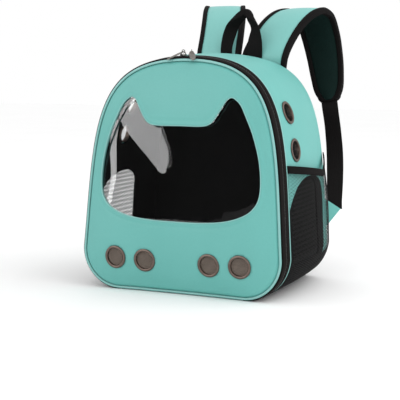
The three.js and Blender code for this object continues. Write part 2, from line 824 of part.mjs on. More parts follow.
// Vents
DOOR_VENTS.forEach(([name], k) => {
  addPiece(`vent_ring_${name}`, ventRing(doorVentFrames[k]), RING_METAL, 0.4, 0.8);
  addPiece(`vent_mesh_${name}`, ventMesh(doorVentFrames[k]), BLACK, 0.8);
});
SIDE_VENTS.forEach(([name], k) => {
  addPiece(`vent_ring_${name}`, onItsSide(name, ventRing(sideVentFrames[k])), RING_METAL, 0.4, 0.8);
  addPiece(`vent_mesh_${name}`, onItsSide(name, ventMesh(sideVentFrames[k])), BLACK, 0.8);
});

// Side windows and pockets
const meshLoop = LOOP.filter((u) => u >= 1.5 && u <= 2.4);
const meshDepths = steps(BAND_FRONT_DEPTH, BODY_DEPTH, BAND_STEPS);
const meshSheet = sheetLoft(bandSections(meshLoop, meshDepths, SIDE_MESH_OUT, SIDE_MESH_OUT + SIDE_MESH_THICKNESS));
const sideMesh = solidOf(meshSheet).intersect(solidOf(sidePrism(archShape(GAP))));
addPair("side_mesh", geometryOf(sideMesh), BLACK, 0.9);
addPair("pocket_net", pocketNet(), BLACK, 0.9);
addPair("pocket_elastic", pocketElastic(), BLACK, 0.8);

// Straps and handle
const padEnd = 1 - STRAP_END_BINDING - 0.002;
const padMargin = BINDING_WIDTH + 2 * GAP;
for (const [side, lift, lean] of STRAP_SIDES) {
  const path = strapPath(lift, lean);
  const addLayer = (name, geometry, color, roughness) => {
    addPiece(`${name}_${side}`, side === "left" ? mirrored(geometry) : geometry, color, roughness);
  };
  const layer = (bottom, top) => ribbonSolid(path, STRAP_STEPS, padEnd, padMargin, bottom, top);
  addLayer("strap_face", layer(GAP, GAP + STRAP_FACE), MINT, 0.75);
  addLayer("strap_pad", layer(-STRAP_PAD, 0), PAD_DARK, 0.95);
  addLayer("strap_binding", strapBinding(path), BLACK, 0.8);
  const half = WEBBING_THICKNESS / 2;
  addLayer("strap_webbing", ribbonSolid(webbingPath(path), WEBBING_STEPS, 1, 0, -half, half), BLACK, 0.85);
}

const tabSide = new THREE.Vector3(TAB_SEAM_Y - TAB_TIP[1], TAB_TIP[0] - TAB_SEAM_X, 0);
tabSide.normalize().multiplyScalar(TAB_THICKNESS);
const tabFace = [
  new THREE.Vector3(TAB_SEAM_X, TAB_SEAM_Y, TAB_TOP_Z),
  new THREE.Vector3(TAB_SEAM_X, TAB_SEAM_Y, TAB_BOTTOM_Z),
  new THREE.Vector3(...TAB_TIP),
];
addPair("strap_tab", loft([tabFace, tabFace.map((p) => p.clone().add(tabSide))]), MINT, 0.75);
const handle = ribbonSolid(HANDLE_PATH, HANDLE_STEPS, 1, 0, -HANDLE_THICKNESS / 2, HANDLE_THICKNESS / 2);
addPiece("top_handle", handle, BLACK, 0.85);

export default bag;
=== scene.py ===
"""Looks of the pet carrier backpack: domed door with a cat-head window, zip, vents, net pockets and straps.

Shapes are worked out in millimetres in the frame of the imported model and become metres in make_piece.
"""
import math

import bmesh
import bpy
import numpy as np
from mathutils import Matrix, Vector
from mathutils.geometry import delaunay_2d_cdt


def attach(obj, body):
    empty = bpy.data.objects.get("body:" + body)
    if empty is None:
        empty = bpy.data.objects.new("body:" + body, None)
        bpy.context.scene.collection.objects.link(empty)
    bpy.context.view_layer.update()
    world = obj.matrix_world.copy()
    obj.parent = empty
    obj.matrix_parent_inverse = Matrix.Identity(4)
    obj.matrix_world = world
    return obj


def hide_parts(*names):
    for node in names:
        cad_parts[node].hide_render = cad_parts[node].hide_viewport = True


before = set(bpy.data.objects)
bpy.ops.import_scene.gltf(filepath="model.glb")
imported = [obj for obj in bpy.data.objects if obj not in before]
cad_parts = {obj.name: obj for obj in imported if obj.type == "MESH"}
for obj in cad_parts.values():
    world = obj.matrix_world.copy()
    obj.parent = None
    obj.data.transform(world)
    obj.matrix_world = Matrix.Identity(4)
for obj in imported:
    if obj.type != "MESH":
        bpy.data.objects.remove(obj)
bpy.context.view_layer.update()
MM = 0.001

# Body
BODY_WIDTH = 301
BODY_HEIGHT = 322.3
BODY_DEPTH = 205
CORNER_RADIUS = 56
SIDE_LEAN = 0.0775
SIDE_REACH = 171.4
TOP_REACH = 142.8
DOOR_LEAN = 0.0577
DOOR_EDGE_BOW = 6.8
BOW_HALF_WIDTH = 150
SIDE_SWELL = 6.5
REAR_WIDTH_SCALE = 0.965
REAR_HEIGHT_SCALE = 1.0072
FRONT_Y = -BODY_DEPTH / 2
BACK_Y = BODY_DEPTH / 2
BODY_MIDDLE = (0, 0, 150)

# Door
DOOR_DOME = 17
DOOR_DOME_POWER = 4
DOOR_WALL = 4
DOOR_CENTRE_Z = 150
DOOR_INSET = 4.5
PIPING_RADIUS = 1.75
PIPING_INSET = 0.8
FILM_OFFSET = 1.0
BAND_FRONT_DEPTH = 25.5
BAND_WALL = 3
BASE_TURN = 1.86

# Cat-head window, right half from the top middle to the bottom middle: x, z
WINDOW_HALF = [
    (0, 231.8), (34, 231.8), (46, 235), (54, 243.5), (63, 258.5), (68.5, 267), (75, 270),
    (82, 266.5), (89, 259), (97.5, 242.5), (107, 221), (116, 190), (119.6, 160), (118, 138.5),
    (111, 125), (98, 115), (75, 107), (42, 102.8), (0, 101.8),
]

# Clear film: it leans back upwards, falls back to the right and has a fold down from its left ear
FILM_LEAN = 0.042
FILM_LEAN_SPAN = (104, 232)
FILM_LAP = 3
FILM_RIGHT_FALL = 0.042
FILM_RIGHT_SPAN = (10, 40)
FOLD_START = (-94.5, 235.5)
FOLD_ALONG = (0.682, -0.731)
FOLD_TILT = 0.12
FOLD_LENGTH = 96.5
FOLD_WIDTH = 46
FOLD_TIP = 64
FOLD_POWER = 3.7
FOLD_STEP = 5
FOLD_ROUND = 10
FOLD_BLUNT = 12
FILM_PITCH = 2.3
FILM_THICKNESS = 0.5

# Vents: name, x, z on the door, then name, depth behind the door edge, z on the side
VENT_RADIUS = 16.2
VENT_BORE = 12.4
VENT_SEAT = 13.6
SIDE_VENT_SEAT = 14.7
DOOR_VENTS = [
    ("door_outer_left", -94, 47), ("door_inner_left", -48.5, 45.5),
    ("door_inner_right", 48.5, 45.5), ("door_outer_right", 94, 47),
]
SIDE_VENTS = [
    ("upper_right", 63, 249), ("lower_right", 65, 198.5), ("upper_left", 94, 256), ("lower_left", 91, 213),
]

# Arched side window: y and z
ARCH_FRONT_Y = -66
ARCH_CROWN_Y = 8
ARCH_REAR_Y = 40
ARCH_BASE_Z = 46
ARCH_FRONT_SPRING_Z = 112
ARCH_REAR_SPRING_Z = 140
ARCH_TOP_Z = 157

# Black panel round the arched window, down to the base: y and z
PANEL = [
    (-78, 16), (-78, 112), (-65, 128), (-52, 140), (-39, 149), (-24, 155), (-9, 158.5), (8, 160),
    (24, 159.5), (46, 157), (61, 152), (72, 144), (77, 134), (78, 118), (75, 96), (72, 58), (72, 16),
]
PANEL_SNAP = 4

# Net pocket
POCKET_FRONT = 28
POCKET_REAR = 202
POCKET_TOP_Z = 175
POCKET_SAG = 16
POCKET_REAR_RISE = 22
POCKET_RISE_START = 158
POCKET_RISE_POWER = 1.35
POCKET_SWELL = 15
POCKET_SWELL_POWER = 1.6
POCKET_CORNER_START = 1 + 1 / 3
ELASTIC_HEIGHT = 10.4

# Straps: x, y, z, half width
STRAP_PATH = [
    (37, 108.7, 308, 35.5), (37.5, 110, 328, 35.5), (41.5, 127, 354, 35), (50, 154, 380, 34.5),
    (60.5, 182, 394.5, 33.5), (69.5, 208, 397, 32.5), (78, 229, 386, 31.5), (85, 237, 360, 30.5),
    (94, 232, 328, 28.5), (102.5, 220.5, 297, 26), (109.5, 208.5, 271, 21.5), (113.5, 201.3, 254, 12),
]
STRAP_LIFT = {"right": 0, "left": 6}
STRAP_LEAN = {"right": 5, "left": -2.5}
STRAP_LEAN_ROWS = 6
STRAP_FACE = 2.7
STRAP_PAD = 7

# Webbing and handle: x, y, z, half width, turn of the width about +Z in degrees
WEBBING_HALF = 12.5
WEBBING_UNDER = -4.0
WEBBING_SEWN = (0.93, 0.985)
WEBBING_PATH = [
    (119, 186.5, 244, 12.5, 0), (126.5, 176.5, 217, 12.5, 0), (136, 159, 179, 12.5, 12),
    (143.6, 138, 145, 12.5, 32), (148.6, 122, 116, 12.5, 47), (149.9, 119.2, 100, 12.5, 47.5),
]
TAB_SEAM = (139.5, 102.8)
TAB_TOP_Z = 117
TAB_BOTTOM_Z = 71
TAB_TIP = (158, 123, 100)
HANDLE_PATH = [
    (-21, 104.1, 310, 9.3, 0), (-21, 104.1, 328, 9.3, 0), (-20, 104.4, 343, 9.3, 6),
    (-14, 108, 367, 10, 40), (-3, 113, 389, 11, 75), (7.5, 115, 396, 10.5, 90), (17, 113, 389, 11, 105),
    (24, 108, 367, 12, 140), (25.5, 104.4, 343, 12.5, 174), (25, 104.1, 328, 12.5, 180),
    (25, 104.1, 310, 12.5, 180),
]

# Zip
TAPE_FRONT = (3.5, 12.2)
TAPE_REAR = (15.8, 25.3)
TAPE_INSET = -1.2
TAPE_THICKNESS = 2.6
COIL_DEPTH = 14
TOOTH_PITCH = 1.7
TOOTH_HALF = (0.62, 1.95, 0.95)
TOOTH_RISE = 0.4
TOOTH_SHIFT = 0.45
HINGE_DEPTHS = (3.6, 25.4)
HINGE_THICKNESS = 2.4

# Sliders: name, x, yaw of the pull from straight forward, its slope, its length
SLIDERS = [("left", -8.5, -42, 25, 27), ("right", 4, 30, 27, 27)]
SLIDER_RISE = 2.1
BRIDGE_HALF = 3.4
BRIDGE_RISE = 4.3
SLIDER_HEIGHT = 1.7
PULL_EYE = 2.2
# Plates and post of a slider: size, middle
SLIDER_BOXES = [((8, 6.4, 1.0), (0, 0, 1.2)), ((7.4, 5.8, 0.8), (0, 0, 0.1)),
                ((2.6, 2.0, 1.4), (-2.2, 0, 0.7))]


# Shapes
def outline_point(u):
    """Right half of the front outline: 0 base middle, 1 to 2 the corner, 3 top middle."""
    flat = BODY_WIDTH / 2 - CORNER_RADIUS
    turn = np.clip(u - 1, 0, 1) * np.pi / 2
    low_x = flat * np.clip(u, 0, 1) + CORNER_RADIUS * np.sin(turn)
    low_z = CORNER_RADIUS * (1 - np.cos(turn))
    s = np.clip(u - 2, 0, 1)
    corner = (BODY_WIDTH / 2, CORNER_RADIUS)
    lean = (BODY_WIDTH / 2 - SIDE_LEAN * SIDE_REACH, CORNER_RADIUS + SIDE_REACH)
    shoulder = (TOP_REACH, BODY_HEIGHT)
    top = (0, BODY_HEIGHT)
    blend = [(1 - s) ** 3, 3 * s * (1 - s) ** 2, 3 * s**2 * (1 - s), s**3]
    x, z = (sum(b * p[k] for b, p in zip(blend, (corner, lean, shoulder, top))) for k in (0, 1))
    return np.where(u > 2, x, low_x), np.where(u > 2, z, low_z)


def outline(u):
    u = np.asarray(u, float)
    side = np.where(u < 0, -1.0, 1.0)
    half = np.abs(u)
    x, z = outline_point(half)
    low_x, low_z = outline_point(np.maximum(half - 0.01, 0))
    high_x, high_z = outline_point(np.minimum(half + 0.01, 3))
    length = np.hypot(high_x - low_x, high_z - low_z)
    return side * x, z, side * (high_z - low_z) / length, -(high_x - low_x) / length


def door_edge_y(x, z):
    return FRONT_Y + DOOR_LEAN * z - DOOR_EDGE_BOW * (x / BOW_HALF_WIDTH) ** 2


def skin(u, depth, inset):
    """A point of the bag's skin at a depth behind the door edge, moved inwards by inset."""
    px, pz, nx, nz = outline(u)
    t = np.asarray(depth, float) / BODY_DEPTH
    swell = SIDE_SWELL * 4 * t * (1 - t) * np.clip(1 + nz, 0, 1) - inset
    x = (px + nx * swell) * (1 + (REAR_WIDTH_SCALE - 1) * t)
    z = (pz + nz * swell) * (1 + (REAR_HEIGHT_SCALE - 1) * t)
    front = door_edge_y(x, z)
    return np.stack(np.broadcast_arrays(x, front + (BACK_Y - front) * t, z), -1)


def unit(v):
    return v / np.linalg.norm(v, axis=-1, keepdims=True)


def run_length(points):
    """Length along a row of points, from 0."""
    return np.concatenate([[0], np.cumsum(np.linalg.norm(np.diff(points, axis=0), axis=1))])


def even_steps(place, start, end, count):
    """count + 1 values from start to end, evenly spaced along the curve place(value)."""
    fine = np.linspace(start, end, 4000)
    length = run_length(place(fine))
    return np.interp(np.linspace(0, length[-1], count + 1), length, fine)


def round_steps(depth, inset, count):
    """Even outline steps once round the skin, from the top middle."""
    return even_steps(lambda u: skin(u, depth, inset), 3, -3, count)[:-1]


def over_top(v):
    """Outline step for a run that goes from the right corner, 1, over the top, 3, to the left corner, 5."""
    return np.where(v <= 3, v, v - 6)


def over_steps(depth, start, end, count):
    """Even outline steps of such a run."""
    return over_top(even_steps(lambda v: skin(over_top(v), depth, 0), start, end, count))


def outline_at_height(z, depth):
    u = np.linspace(1, 3, 2000)
    return np.interp(z, skin(u, depth, 0)[:, 2], u)


def skin_rate(u, depth, step=0.02):
    """How many millimetres of skin one outline step covers."""
    return np.linalg.norm(skin(u + step, depth, 0) - skin(u - step, depth, 0), axis=-1) / (2 * step)


def soft_step(x):
    x = np.clip(x, 0, 1)
    return x * x * (3 - 2 * x)


def door_outline(count):
    return skin(round_steps(0, DOOR_INSET, count), 0, DOOR_INSET)[:, [0, 2]]


def polar(x, z):
    """Angle and distance round the middle of the door."""
    return np.arctan2(z - DOOR_CENTRE_Z, x), np.hypot(x, z - DOOR_CENTRE_Z)


edge_angle, edge_reach = polar(*door_outline(720).T)


def door_y(x, z):
    angle, reach = polar(x, z)
    share = reach / np.interp(angle, edge_angle, edge_reach, period=2 * np.pi)
    return door_edge_y(x, z) - DOOR_DOME * (1 - np.minimum(share, 1) ** DOOR_DOME_POWER)


def closed_curve(corners, count):
    """count evenly spaced points of a smooth closed curve through the corners."""
    ring = np.asarray(corners, float)
    a, b, c, d = (np.roll(ring, k, 0)[:, None] for k in (1, 0, -1, -2))
    w = np.linspace(0, 1, 24, endpoint=False)[:, None]
    fine = 0.5 * (2 * b + (c - a) * w + (2 * a - 5 * b + 4 * c - d) * w**2 + (3 * b - a - 3 * c + d) * w**3)
    fine = fine.reshape(-1, ring.shape[1])
    fine = np.vstack([fine, fine[:1]])
    length = run_length(fine)
    at = np.linspace(0, length[-1], count, endpoint=False)
    return np.stack([np.interp(at, length, column) for column in fine.T], -1)


def grown(ring, amount):
    """A closed flat outline that runs clockwise, moved outwards."""
    along = unit(np.roll(ring, -1, 0) - np.roll(ring, 1, 0))
    return ring + amount * np.stack([-along[:, 1], along[:, 0]], -1)


def grid_faces(rows, columns, closed_rows=False, closed_columns=False):
    faces = []
    for r in range(rows if closed_rows else rows - 1):
        up = (r + 1) % rows
        for c in range(columns if closed_columns else columns - 1):
            right = (c + 1) % columns
            faces.append((r * columns + c, r * columns + right, up * columns + right, up * columns + c))
    return faces


def tube_faces(rows, columns):
    """Faces of a solid through rows of closed sections, with both ends capped."""
    last = (rows - 1) * columns
    caps = [tuple(range(columns))[::-1], tuple(last + k for k in range(columns))]
    return grid_faces(rows, columns, closed_columns=True) + caps


def inside(ring, points):
    """Which points lie inside a closed flat outline."""
    x, y = points[:, 0], points[:, 1]
    result = np.zeros(len(points), bool)
    for a, b in zip(ring, np.roll(ring, -1, 0)):
        if a[1] == b[1]:
            continue
        spans = (a[1] > y) != (b[1] > y)
        result ^= spans & (x < a[0] + (y - a[1]) / (b[1] - a[1]) * (b[0] - a[0]))
    return result


def between(outer, holes, points):
    """Which points lie inside an outline and outside its holes."""
    result = inside(outer, points)
    for ring in holes:
        result &= ~inside(ring, points)
    return result


def nearest_on(ring, points):
    """The spots of a closed flat outline that lie nearest to the points."""
    side = np.roll(ring, -1, 0) - ring
    along = np.clip(((points[:, None] - ring) * side).sum(-1) / (side**2).sum(-1), 0, 1)
    spots = ring + along[..., None] * side
    best = np.linalg.norm(spots - points[:, None], axis=-1).argmin(1)
    return spots[np.arange(len(points)), best]


def spread(ring, points):
    """How far points lie from a closed flat outline."""
    return np.linalg.norm(points - nearest_on(ring, points), axis=1)


def compact(points, faces):
    """The points that the faces use, and the faces by the new numbers of their points."""
    used = sorted({int(k) for face in faces for k in face})
    number = {k: n for n, k in enumerate(used)}
    return points[used], [tuple(number[k] for k in face) for face in faces]


def carve(points, faces, holes):
    """Cut outlines out of a flat grid: faces inside go, and points on the cut move onto the outline."""
    points = points.copy()
    faces = np.asarray(faces)
    middle = points[faces].mean(1)
    gone = np.zeros(len(faces), bool)
    for ring in holes:
        hit = inside(ring, middle)
        gone |= hit
        cut = np.intersect1d(faces[hit], faces[~hit])
        points[cut] = nearest_on(ring, points[cut])
    points, kept = compact(points, faces[~gone])
    return points, np.array(kept)


def outlined_sheet(outer, holes, rims, pitch):
    """A flat sheet of triangles between an outline and its holes, that also follows the rims."""
    lines = [outer] + holes + rims
    low, high = outer.min(0), outer.max(0)
    row_pitch, clearance = 0.866 * pitch, 0.6 * pitch
    columns = np.arange(low[0], high[0], pitch)
    grid = np.vstack([
        np.stack([columns + pitch / 2 * (k % 2), np.full_like(columns, z)], -1)
        for k, z in enumerate(np.arange(low[1], high[1], row_pitch))
    ])
    grid = grid[between(outer, holes, grid)]
    edges, start = [], 0
    for ring in lines:
        grid = grid[spread(ring, grid) > clearance]
        count = len(ring)
        edges += [(start + k, start + (k + 1) % count) for k in range(count)]
        start += count
    spots = [Vector(p) for p in np.vstack(lines + [grid])]
    flat, _, faces, *_ = delaunay_2d_cdt(spots, edges, [], 0, 1e-6)
    flat = np.array([tuple(p) for p in flat])
    faces = np.array(faces)
    return compact(flat, faces[between(outer, holes, flat[faces].mean(1))])


def full_turn(count):
    return np.linspace(0, 2 * np.pi, count, endpoint=False)


def circle(centre, radius, count=40):
    turn = full_turn(count)
    return np.asarray(centre) + radius * np.stack([np.cos(turn), np.sin(turn)], -1)


def lattice(rows, columns):
    """A diamond net on a 0 to 1 square: points and faces, with straight borders."""
    cells = [(r, c) for r in range(rows + 1) for c in range(columns + 1)]
    knots = [(r, c) for r, c in cells if (r + c) % 2 == 0]
    number = {knot: k for k, knot in enumerate(knots)}
    faces = []
    for r, c in cells:
        if (r + c) % 2:
            corners = [(r - 1, c), (r, c + 1), (r + 1, c), (r, c - 1)]
            faces.append(tuple(number[k] for k in corners if k in number))
    return np.array(knots) / (rows, columns), [face for face in faces if len(face) > 2]


def spline(rows):
    """A smooth curve through the rows of a table, for 0 to 1; its first three columns set the pace."""
    table = np.asarray(rows, float)
    ends = np.vstack([2 * table[0] - table[1], table, 2 * table[-1] - table[-2]])
    pace = np.linalg.norm(np.diff(ends[:, :3], axis=0), axis=1) ** 0.5
    before, step, after = pace[:-2, None], pace[1:-1, None], pace[2:, None]
    p0, p1, p2, p3 = ends[:-3], ends[1:-2], ends[2:-1], ends[3:]
    leave = ((p1 - p0) / before - (p2 - p0) / (before + step) + (p2 - p1) / step) * step
    arrive = ((p2 - p1) / step - (p3 - p1) / (step + after) + (p3 - p2) / after) * step
    cubic = [p1, leave, 3 * (p2 - p1) - 2 * leave - arrive, 2 * (p1 - p2) + leave + arrive]

    def at(s, slope=False):
        place = np.clip(np.asarray(s, float), 0, 1) * (len(table) - 1)
        row = np.minimum(place.astype(int), len(table) - 2)
        w = (place - row)[..., None]
        c0, c1, c2, c3 = (c[row] for c in cubic)
        if slope:
            return c1 + 2 * c2 * w + 3 * c3 * w**2
        return c0 + c1 * w + c2 * w**2 + c3 * w**3

    return at


def ribbon(path):
    """A point of a strap at 0 to 1 along it, across its width and out of its face, and its half width."""
    curve = spline(path)

    def place(s, across, out):
        s, across, out = np.broadcast_arrays(np.asarray(s, float), across, out)
        along = unit(curve(s, True)[..., :3])
        turn = np.radians(curve(s)[..., 4])
        wide = np.stack([np.cos(turn), np.sin(turn), 0 * turn], -1)
        wide = unit(wide - (wide * along).sum(-1, keepdims=True) * along)
        return curve(s)[..., :3] + across[..., None] * wide + out[..., None] * np.cross(wide, along)

    return place, lambda s: curve(s)[..., 3]


def rounded_section(half_x, half_y, count, power=4.0):
    """A rounded rectangle as count points."""
    ring = circle((0, 0), 1, count)
    return np.sign(ring) * np.abs(ring) ** (2 / power) * (half_x, half_y)


def mirrored(points):
    return np.asarray(points) * (-1, 1, 1)


def flip_for(name):
    """What turns points of the right side into those of the side that the name ends with."""
    return mirrored if name.endswith("left") else np.asarray


def joined(shapes):
    """Pairs of points and faces as one."""
    points, faces = [], []
    start = 0
    for part, part_faces in shapes:
        points.append(part)
        faces += [tuple(start + v for v in face) for face in part_faces]
        start += len(part)
    return np.vstack(points), faces


# Materials
SLOW_SCALE = 14.0
FINE_SCALE = 420.0
THREAD_HEIGHT = 0.35


def linear(display):
    """A display colour, 0 to 255, as the shader's colour."""
    return tuple(((c / 255 + 0.055) / 1.055) ** 2.4 if c > 10 else c / 3294 for c in display) + (1,)


def add_node(tree, kind, inputs=None, **settings):
    node = tree.nodes.new(kind)
    for name, value in settings.items():
        setattr(node, name, value)
    for key, value in (inputs or {}).items():
        if isinstance(value, bpy.types.NodeSocket):
            tree.links.new(value, node.inputs[key])
        else:
            node.inputs[key].default_value = value
    return node


def calc(tree, operation, first, second=0.0, third=0.5):
    inputs = {0: first, 1: second, 2: third}
    return add_node(tree, "ShaderNodeMath", inputs, operation=operation).outputs[0]


# The name that each material was given, because Blender adds a number where the CAD has the same name
given_names = {}


def start_material(name, **sockets):
    material = bpy.data.materials.new(name)
    given_names[material.name] = name
    material.use_nodes = True
    shader = material.node_tree.nodes["Principled BSDF"]
    for socket, value in sockets.items():
        shader.inputs[socket.replace("_", " ")].default_value = value
    return material, material.node_tree, shader


def noise(tree, scale, detail=3.0):
    place = add_node(tree, "ShaderNodeTexCoord").outputs["Object"]
    inputs = {"Vector": place, "Scale": scale, "Detail": detail}
    return add_node(tree, "ShaderNodeTexNoise", inputs).outputs["Fac"]


def two_tone(tree, factor, dark, light):
    ramp = add_node(tree, "ShaderNodeValToRGB", {"Fac": factor})
    for stop, tone, position in zip(ramp.color_ramp.elements, (dark, light), (0.25, 0.75)):
        stop.color = linear(tone)
        stop.position = position
    return ramp.outputs["Color"]


def bumped(tree, shader, height, strength, distance):
    inputs = {"Height": height, "Strength": strength, "Distance": distance}
    bump = add_node(tree, "ShaderNodeBump", inputs)
    tree.links.new(bump.outputs["Normal"], shader.inputs["Normal"])


def woven(name, dark, light, pitch, strength=0.4, twill=False, shine=0.08, **sockets):
    """Cloth whose threads follow the piece's fabric attribute, with slow and fine changes of colour."""
    material, tree, shader = start_material(name, Specular_IOR_Level=shine, **sockets)
    place = add_node(tree, "ShaderNodeAttribute", attribute_name="fabric").outputs["Vector"]
    split = add_node(tree, "ShaderNodeSeparateXYZ", {"Vector": place}).outputs
    turns = math.pi / (pitch * MM)
    across = calc(tree, "MULTIPLY", split["X"], turns)
    along = calc(tree, "MULTIPLY", split["Y"], turns)
    if twill:
        slant = calc(tree, "SINE", calc(tree, "ADD", across, along))
        rib = calc(tree, "SINE", across)
        weave = calc(tree, "MULTIPLY", calc(tree, "ADD", slant, rib), 0.5)
    else:
        weave = calc(tree, "MULTIPLY", calc(tree, "SINE", across), calc(tree, "SINE", along))
    height = calc(tree, "MULTIPLY_ADD", weave, 0.3, 0.5)
    slow = noise(tree, SLOW_SCALE)
    fine = noise(tree, FINE_SCALE, 2.0)
    mix = calc(tree, "ADD", calc(tree, "MULTIPLY", slow, 0.5), calc(tree, "MULTIPLY", fine, 0.3))
    mix = calc(tree, "ADD", mix, calc(tree, "MULTIPLY", height, 0.35))
    tree.links.new(two_tone(tree, mix, dark, light), shader.inputs["Base Color"])
    relief = calc(tree, "ADD", height, calc(tree, "MULTIPLY", fine, 0.35))
    bumped(tree, shader, relief, strength, THREAD_HEIGHT * pitch * MM)
    return material


def speckled(name, dark, light, scale, strength, distance=0.0004, **sockets):
    material, tree, shader = start_material(name, **sockets)
    fine = noise(tree, scale, 4.0)
    tree.links.new(two_tone(tree, fine, dark, light), shader.inputs["Base Color"])
    bumped(tree, shader, fine, strength, distance)
    return material


def metal(name, dark, light, roughness, scale=260.0):
    material = speckled(name, dark, light, scale, 0.15, 0.0002, Metallic=1.0)
    tree = material.node_tree
    worn = calc(tree, "MULTIPLY_ADD", noise(tree, scale, 4.0), 0.2, roughness)
    tree.links.new(worn, tree.nodes["Principled BSDF"].inputs["Roughness"])
    return material


MINT_WEAVE = {"pitch": 0.55, "strength": 0.25, "Roughness": 0.5}
mint = woven("mint_fabric", (100, 174, 167), (109, 183, 176), shine=0.25, **MINT_WEAVE)
# A copy of the mint cloth tinted lighter for the straps: painted light, for the brighter light that falls
# on them
mint_strap_painted_light = woven("mint_strap_painted_light", (120, 185, 179), (129, 194, 188), shine=0.3, **MINT_WEAVE)
# The piping, window trim and welt are real, but their copy of the mint cloth is tinted lighter: a painted
# highlight along their rounded edges
mint_edge_painted_highlight = woven("mint_piping", (124, 182, 177), (136, 192, 187), 0.5, 0.2, shine=0.45, Roughness=0.4)
black_cloth = woven("black_fabric", (12, 12, 13), (22, 21, 22), 0.8, 0.4, Roughness=0.85)
black_webbing = woven("black_webbing", (10, 9, 9), (23, 21, 21), 1.4, 0.7, True, Roughness=0.8)
tape_cloth = woven("zip_tape", (14, 12, 12), (25, 22, 21), 0.9, 0.5, True, Roughness=0.8)
pad_cloth = woven("dark_padding", (9, 24, 22), (18, 39, 36), 1.6, 0.6, Roughness=0.75)
net_thread = speckled("black_net", (8, 8, 8), (18, 17, 18), 900.0, 0.3, Roughness=0.7)
coil_plastic = speckled("zip_coil", (16, 14, 13), (32, 29, 27), 700.0, 0.2, Roughness=0.4)
zip_metal = metal("zip_metal", (104, 100, 96), (140, 136, 131), 0.34)
ring_metal = metal("ring_metal", (92, 80, 74), (118, 104, 96), 0.4)
wire_paint = speckled("vent_mesh", (128, 114, 104), (158, 143, 131), 600.0, 0.2, Roughness=0.45)
film_clear, film_tree, film_shader = start_material(
    "clear_film", Roughness=0.0, IOR=1.45, Transmission_Weight=1.0, Base_Color=(0.97, 0.98, 0.98, 1)
)
bumped(film_tree, film_shader, noise(film_tree, 9.0, 1.0), 0.05, 0.002)


# Pieces
def add_object(name, data):
    thing = bpy.data.objects.new(name, data)
    bpy.context.scene.collection.objects.link(thing)
    return thing


def outward_faces(points, faces, centre):
    """The faces turned so that they look away from the centre."""
    total = 0.0
    for face in faces:
        a, b, c, d = points[[face[0], face[1], face[2], face[-1]]]
        total += np.dot(np.cross(c - a, d - b), (a + c) / 2 - centre)
    return [tuple(face) for face in faces] if total > 0 else [tuple(face)[::-1] for face in faces]


def make_piece(name, points, faces, materials, nodes=(), slot=None, body="bag", fabric=None, centre=None,
               marks=None):
    """A piece of the model: points in mm, one or more materials, the CAD nodes that it stands for.

    The slot argument is not used.
    """
    points = np.asarray(points, float).reshape(-1, 3)
    faces = outward_faces(points, faces, points.mean(0) if centre is None else centre)
    mesh = bpy.data.meshes.new(name)
    mesh.from_pydata((points * MM).tolist(), [], [[int(k) for k in face] for face in faces])
    for material in materials:
        mesh.materials.append(material)
    if marks is not None:
        mesh.polygons.foreach_set("material_index", np.asarray(marks, np.int32))
    if fabric is not None:
        cloth = mesh.attributes.new("fabric", "FLOAT_VECTOR", "POINT")
        flat = np.zeros((len(points), 3))
        flat[:, :2] = np.asarray(fabric, float).reshape(-1, 2)
        cloth.data.foreach_set("vector", (flat * MM).ravel())
    mesh.polygons.foreach_set("use_smooth", np.ones(len(mesh.polygons), bool))
    mesh.update()
    piece = add_object(name, mesh)
    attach(piece, body)
    slot or given_names[materials[0].name]
    if nodes:
        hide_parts(*nodes)
    return piece


def thicken(piece, thickness, inner=0):
    """Give a sheet its wall, inwards; inner is the material step of the inner face."""
    wall = piece.modifiers.new("wall", "SOLIDIFY")
    wall.thickness = thickness * MM
    wall.offset = -1
    wall.material_offset = inner


def strands(piece, thickness):
    """Turn the edges of a net into threads."""
    wire = piece.modifiers.new("threads", "WIREFRAME")
    wire.thickness = thickness * MM
    wire.use_even_offset = False
    wire.use_replace = True


def sweep(name, rows, materials, nodes=(), slot=None, closed=False):
    """A solid through rows of closed sections, with a fabric that follows it."""
    rows = np.asarray(rows, float)
    count, size = rows.shape[:2]
    along, around = run_length(rows.mean(1)), run_length(rows[0])
    fabric = np.stack(np.broadcast_arrays(around[None, :], along[:, None]), -1)
    faces = grid_faces(count, size, True, True) if closed else tube_faces(count, size)
    return make_piece(name, rows, faces, materials, nodes, slot, fabric=fabric)


# Door
AROUND = 300
DOOR_PITCH = 4.5
EDGE_TUCK = 0.9
EDGE_DROP = (2.9, 3.4)
WINDOW_RIMS = (1.3, 2.8, 4.6, 6.4, 8.4)
EDGE_RIMS = (0.9, 1.9, 3.0, 4.6, 6.6)
TRIM_GROW = 0.3
TRIM_SEAT = 0.5
# Rolls of the padding: height, distance from the edge, width
EDGE_ROLL = (0.5, 4.4, 2.2)
WINDOW_ROLL = (0.5, 2.8, 2.0)
WINDOW_GROOVE = (-0.4, 6.4, 1.1)
window_ring = closed_curve(WINDOW_HALF + [(-x, z) for x, z in WINDOW_HALF[-2:0:-1]], AROUND)
door_ring = door_outline(320)


def turned_in(distance, depth, width, power=1):
    """How deep an edge is turned in at a distance from it."""
    return depth * (1 - soft_step(distance / width)) ** power


def roll(distance, height, middle, width):
    return height * np.exp(-(((distance - middle) / width) ** 2))


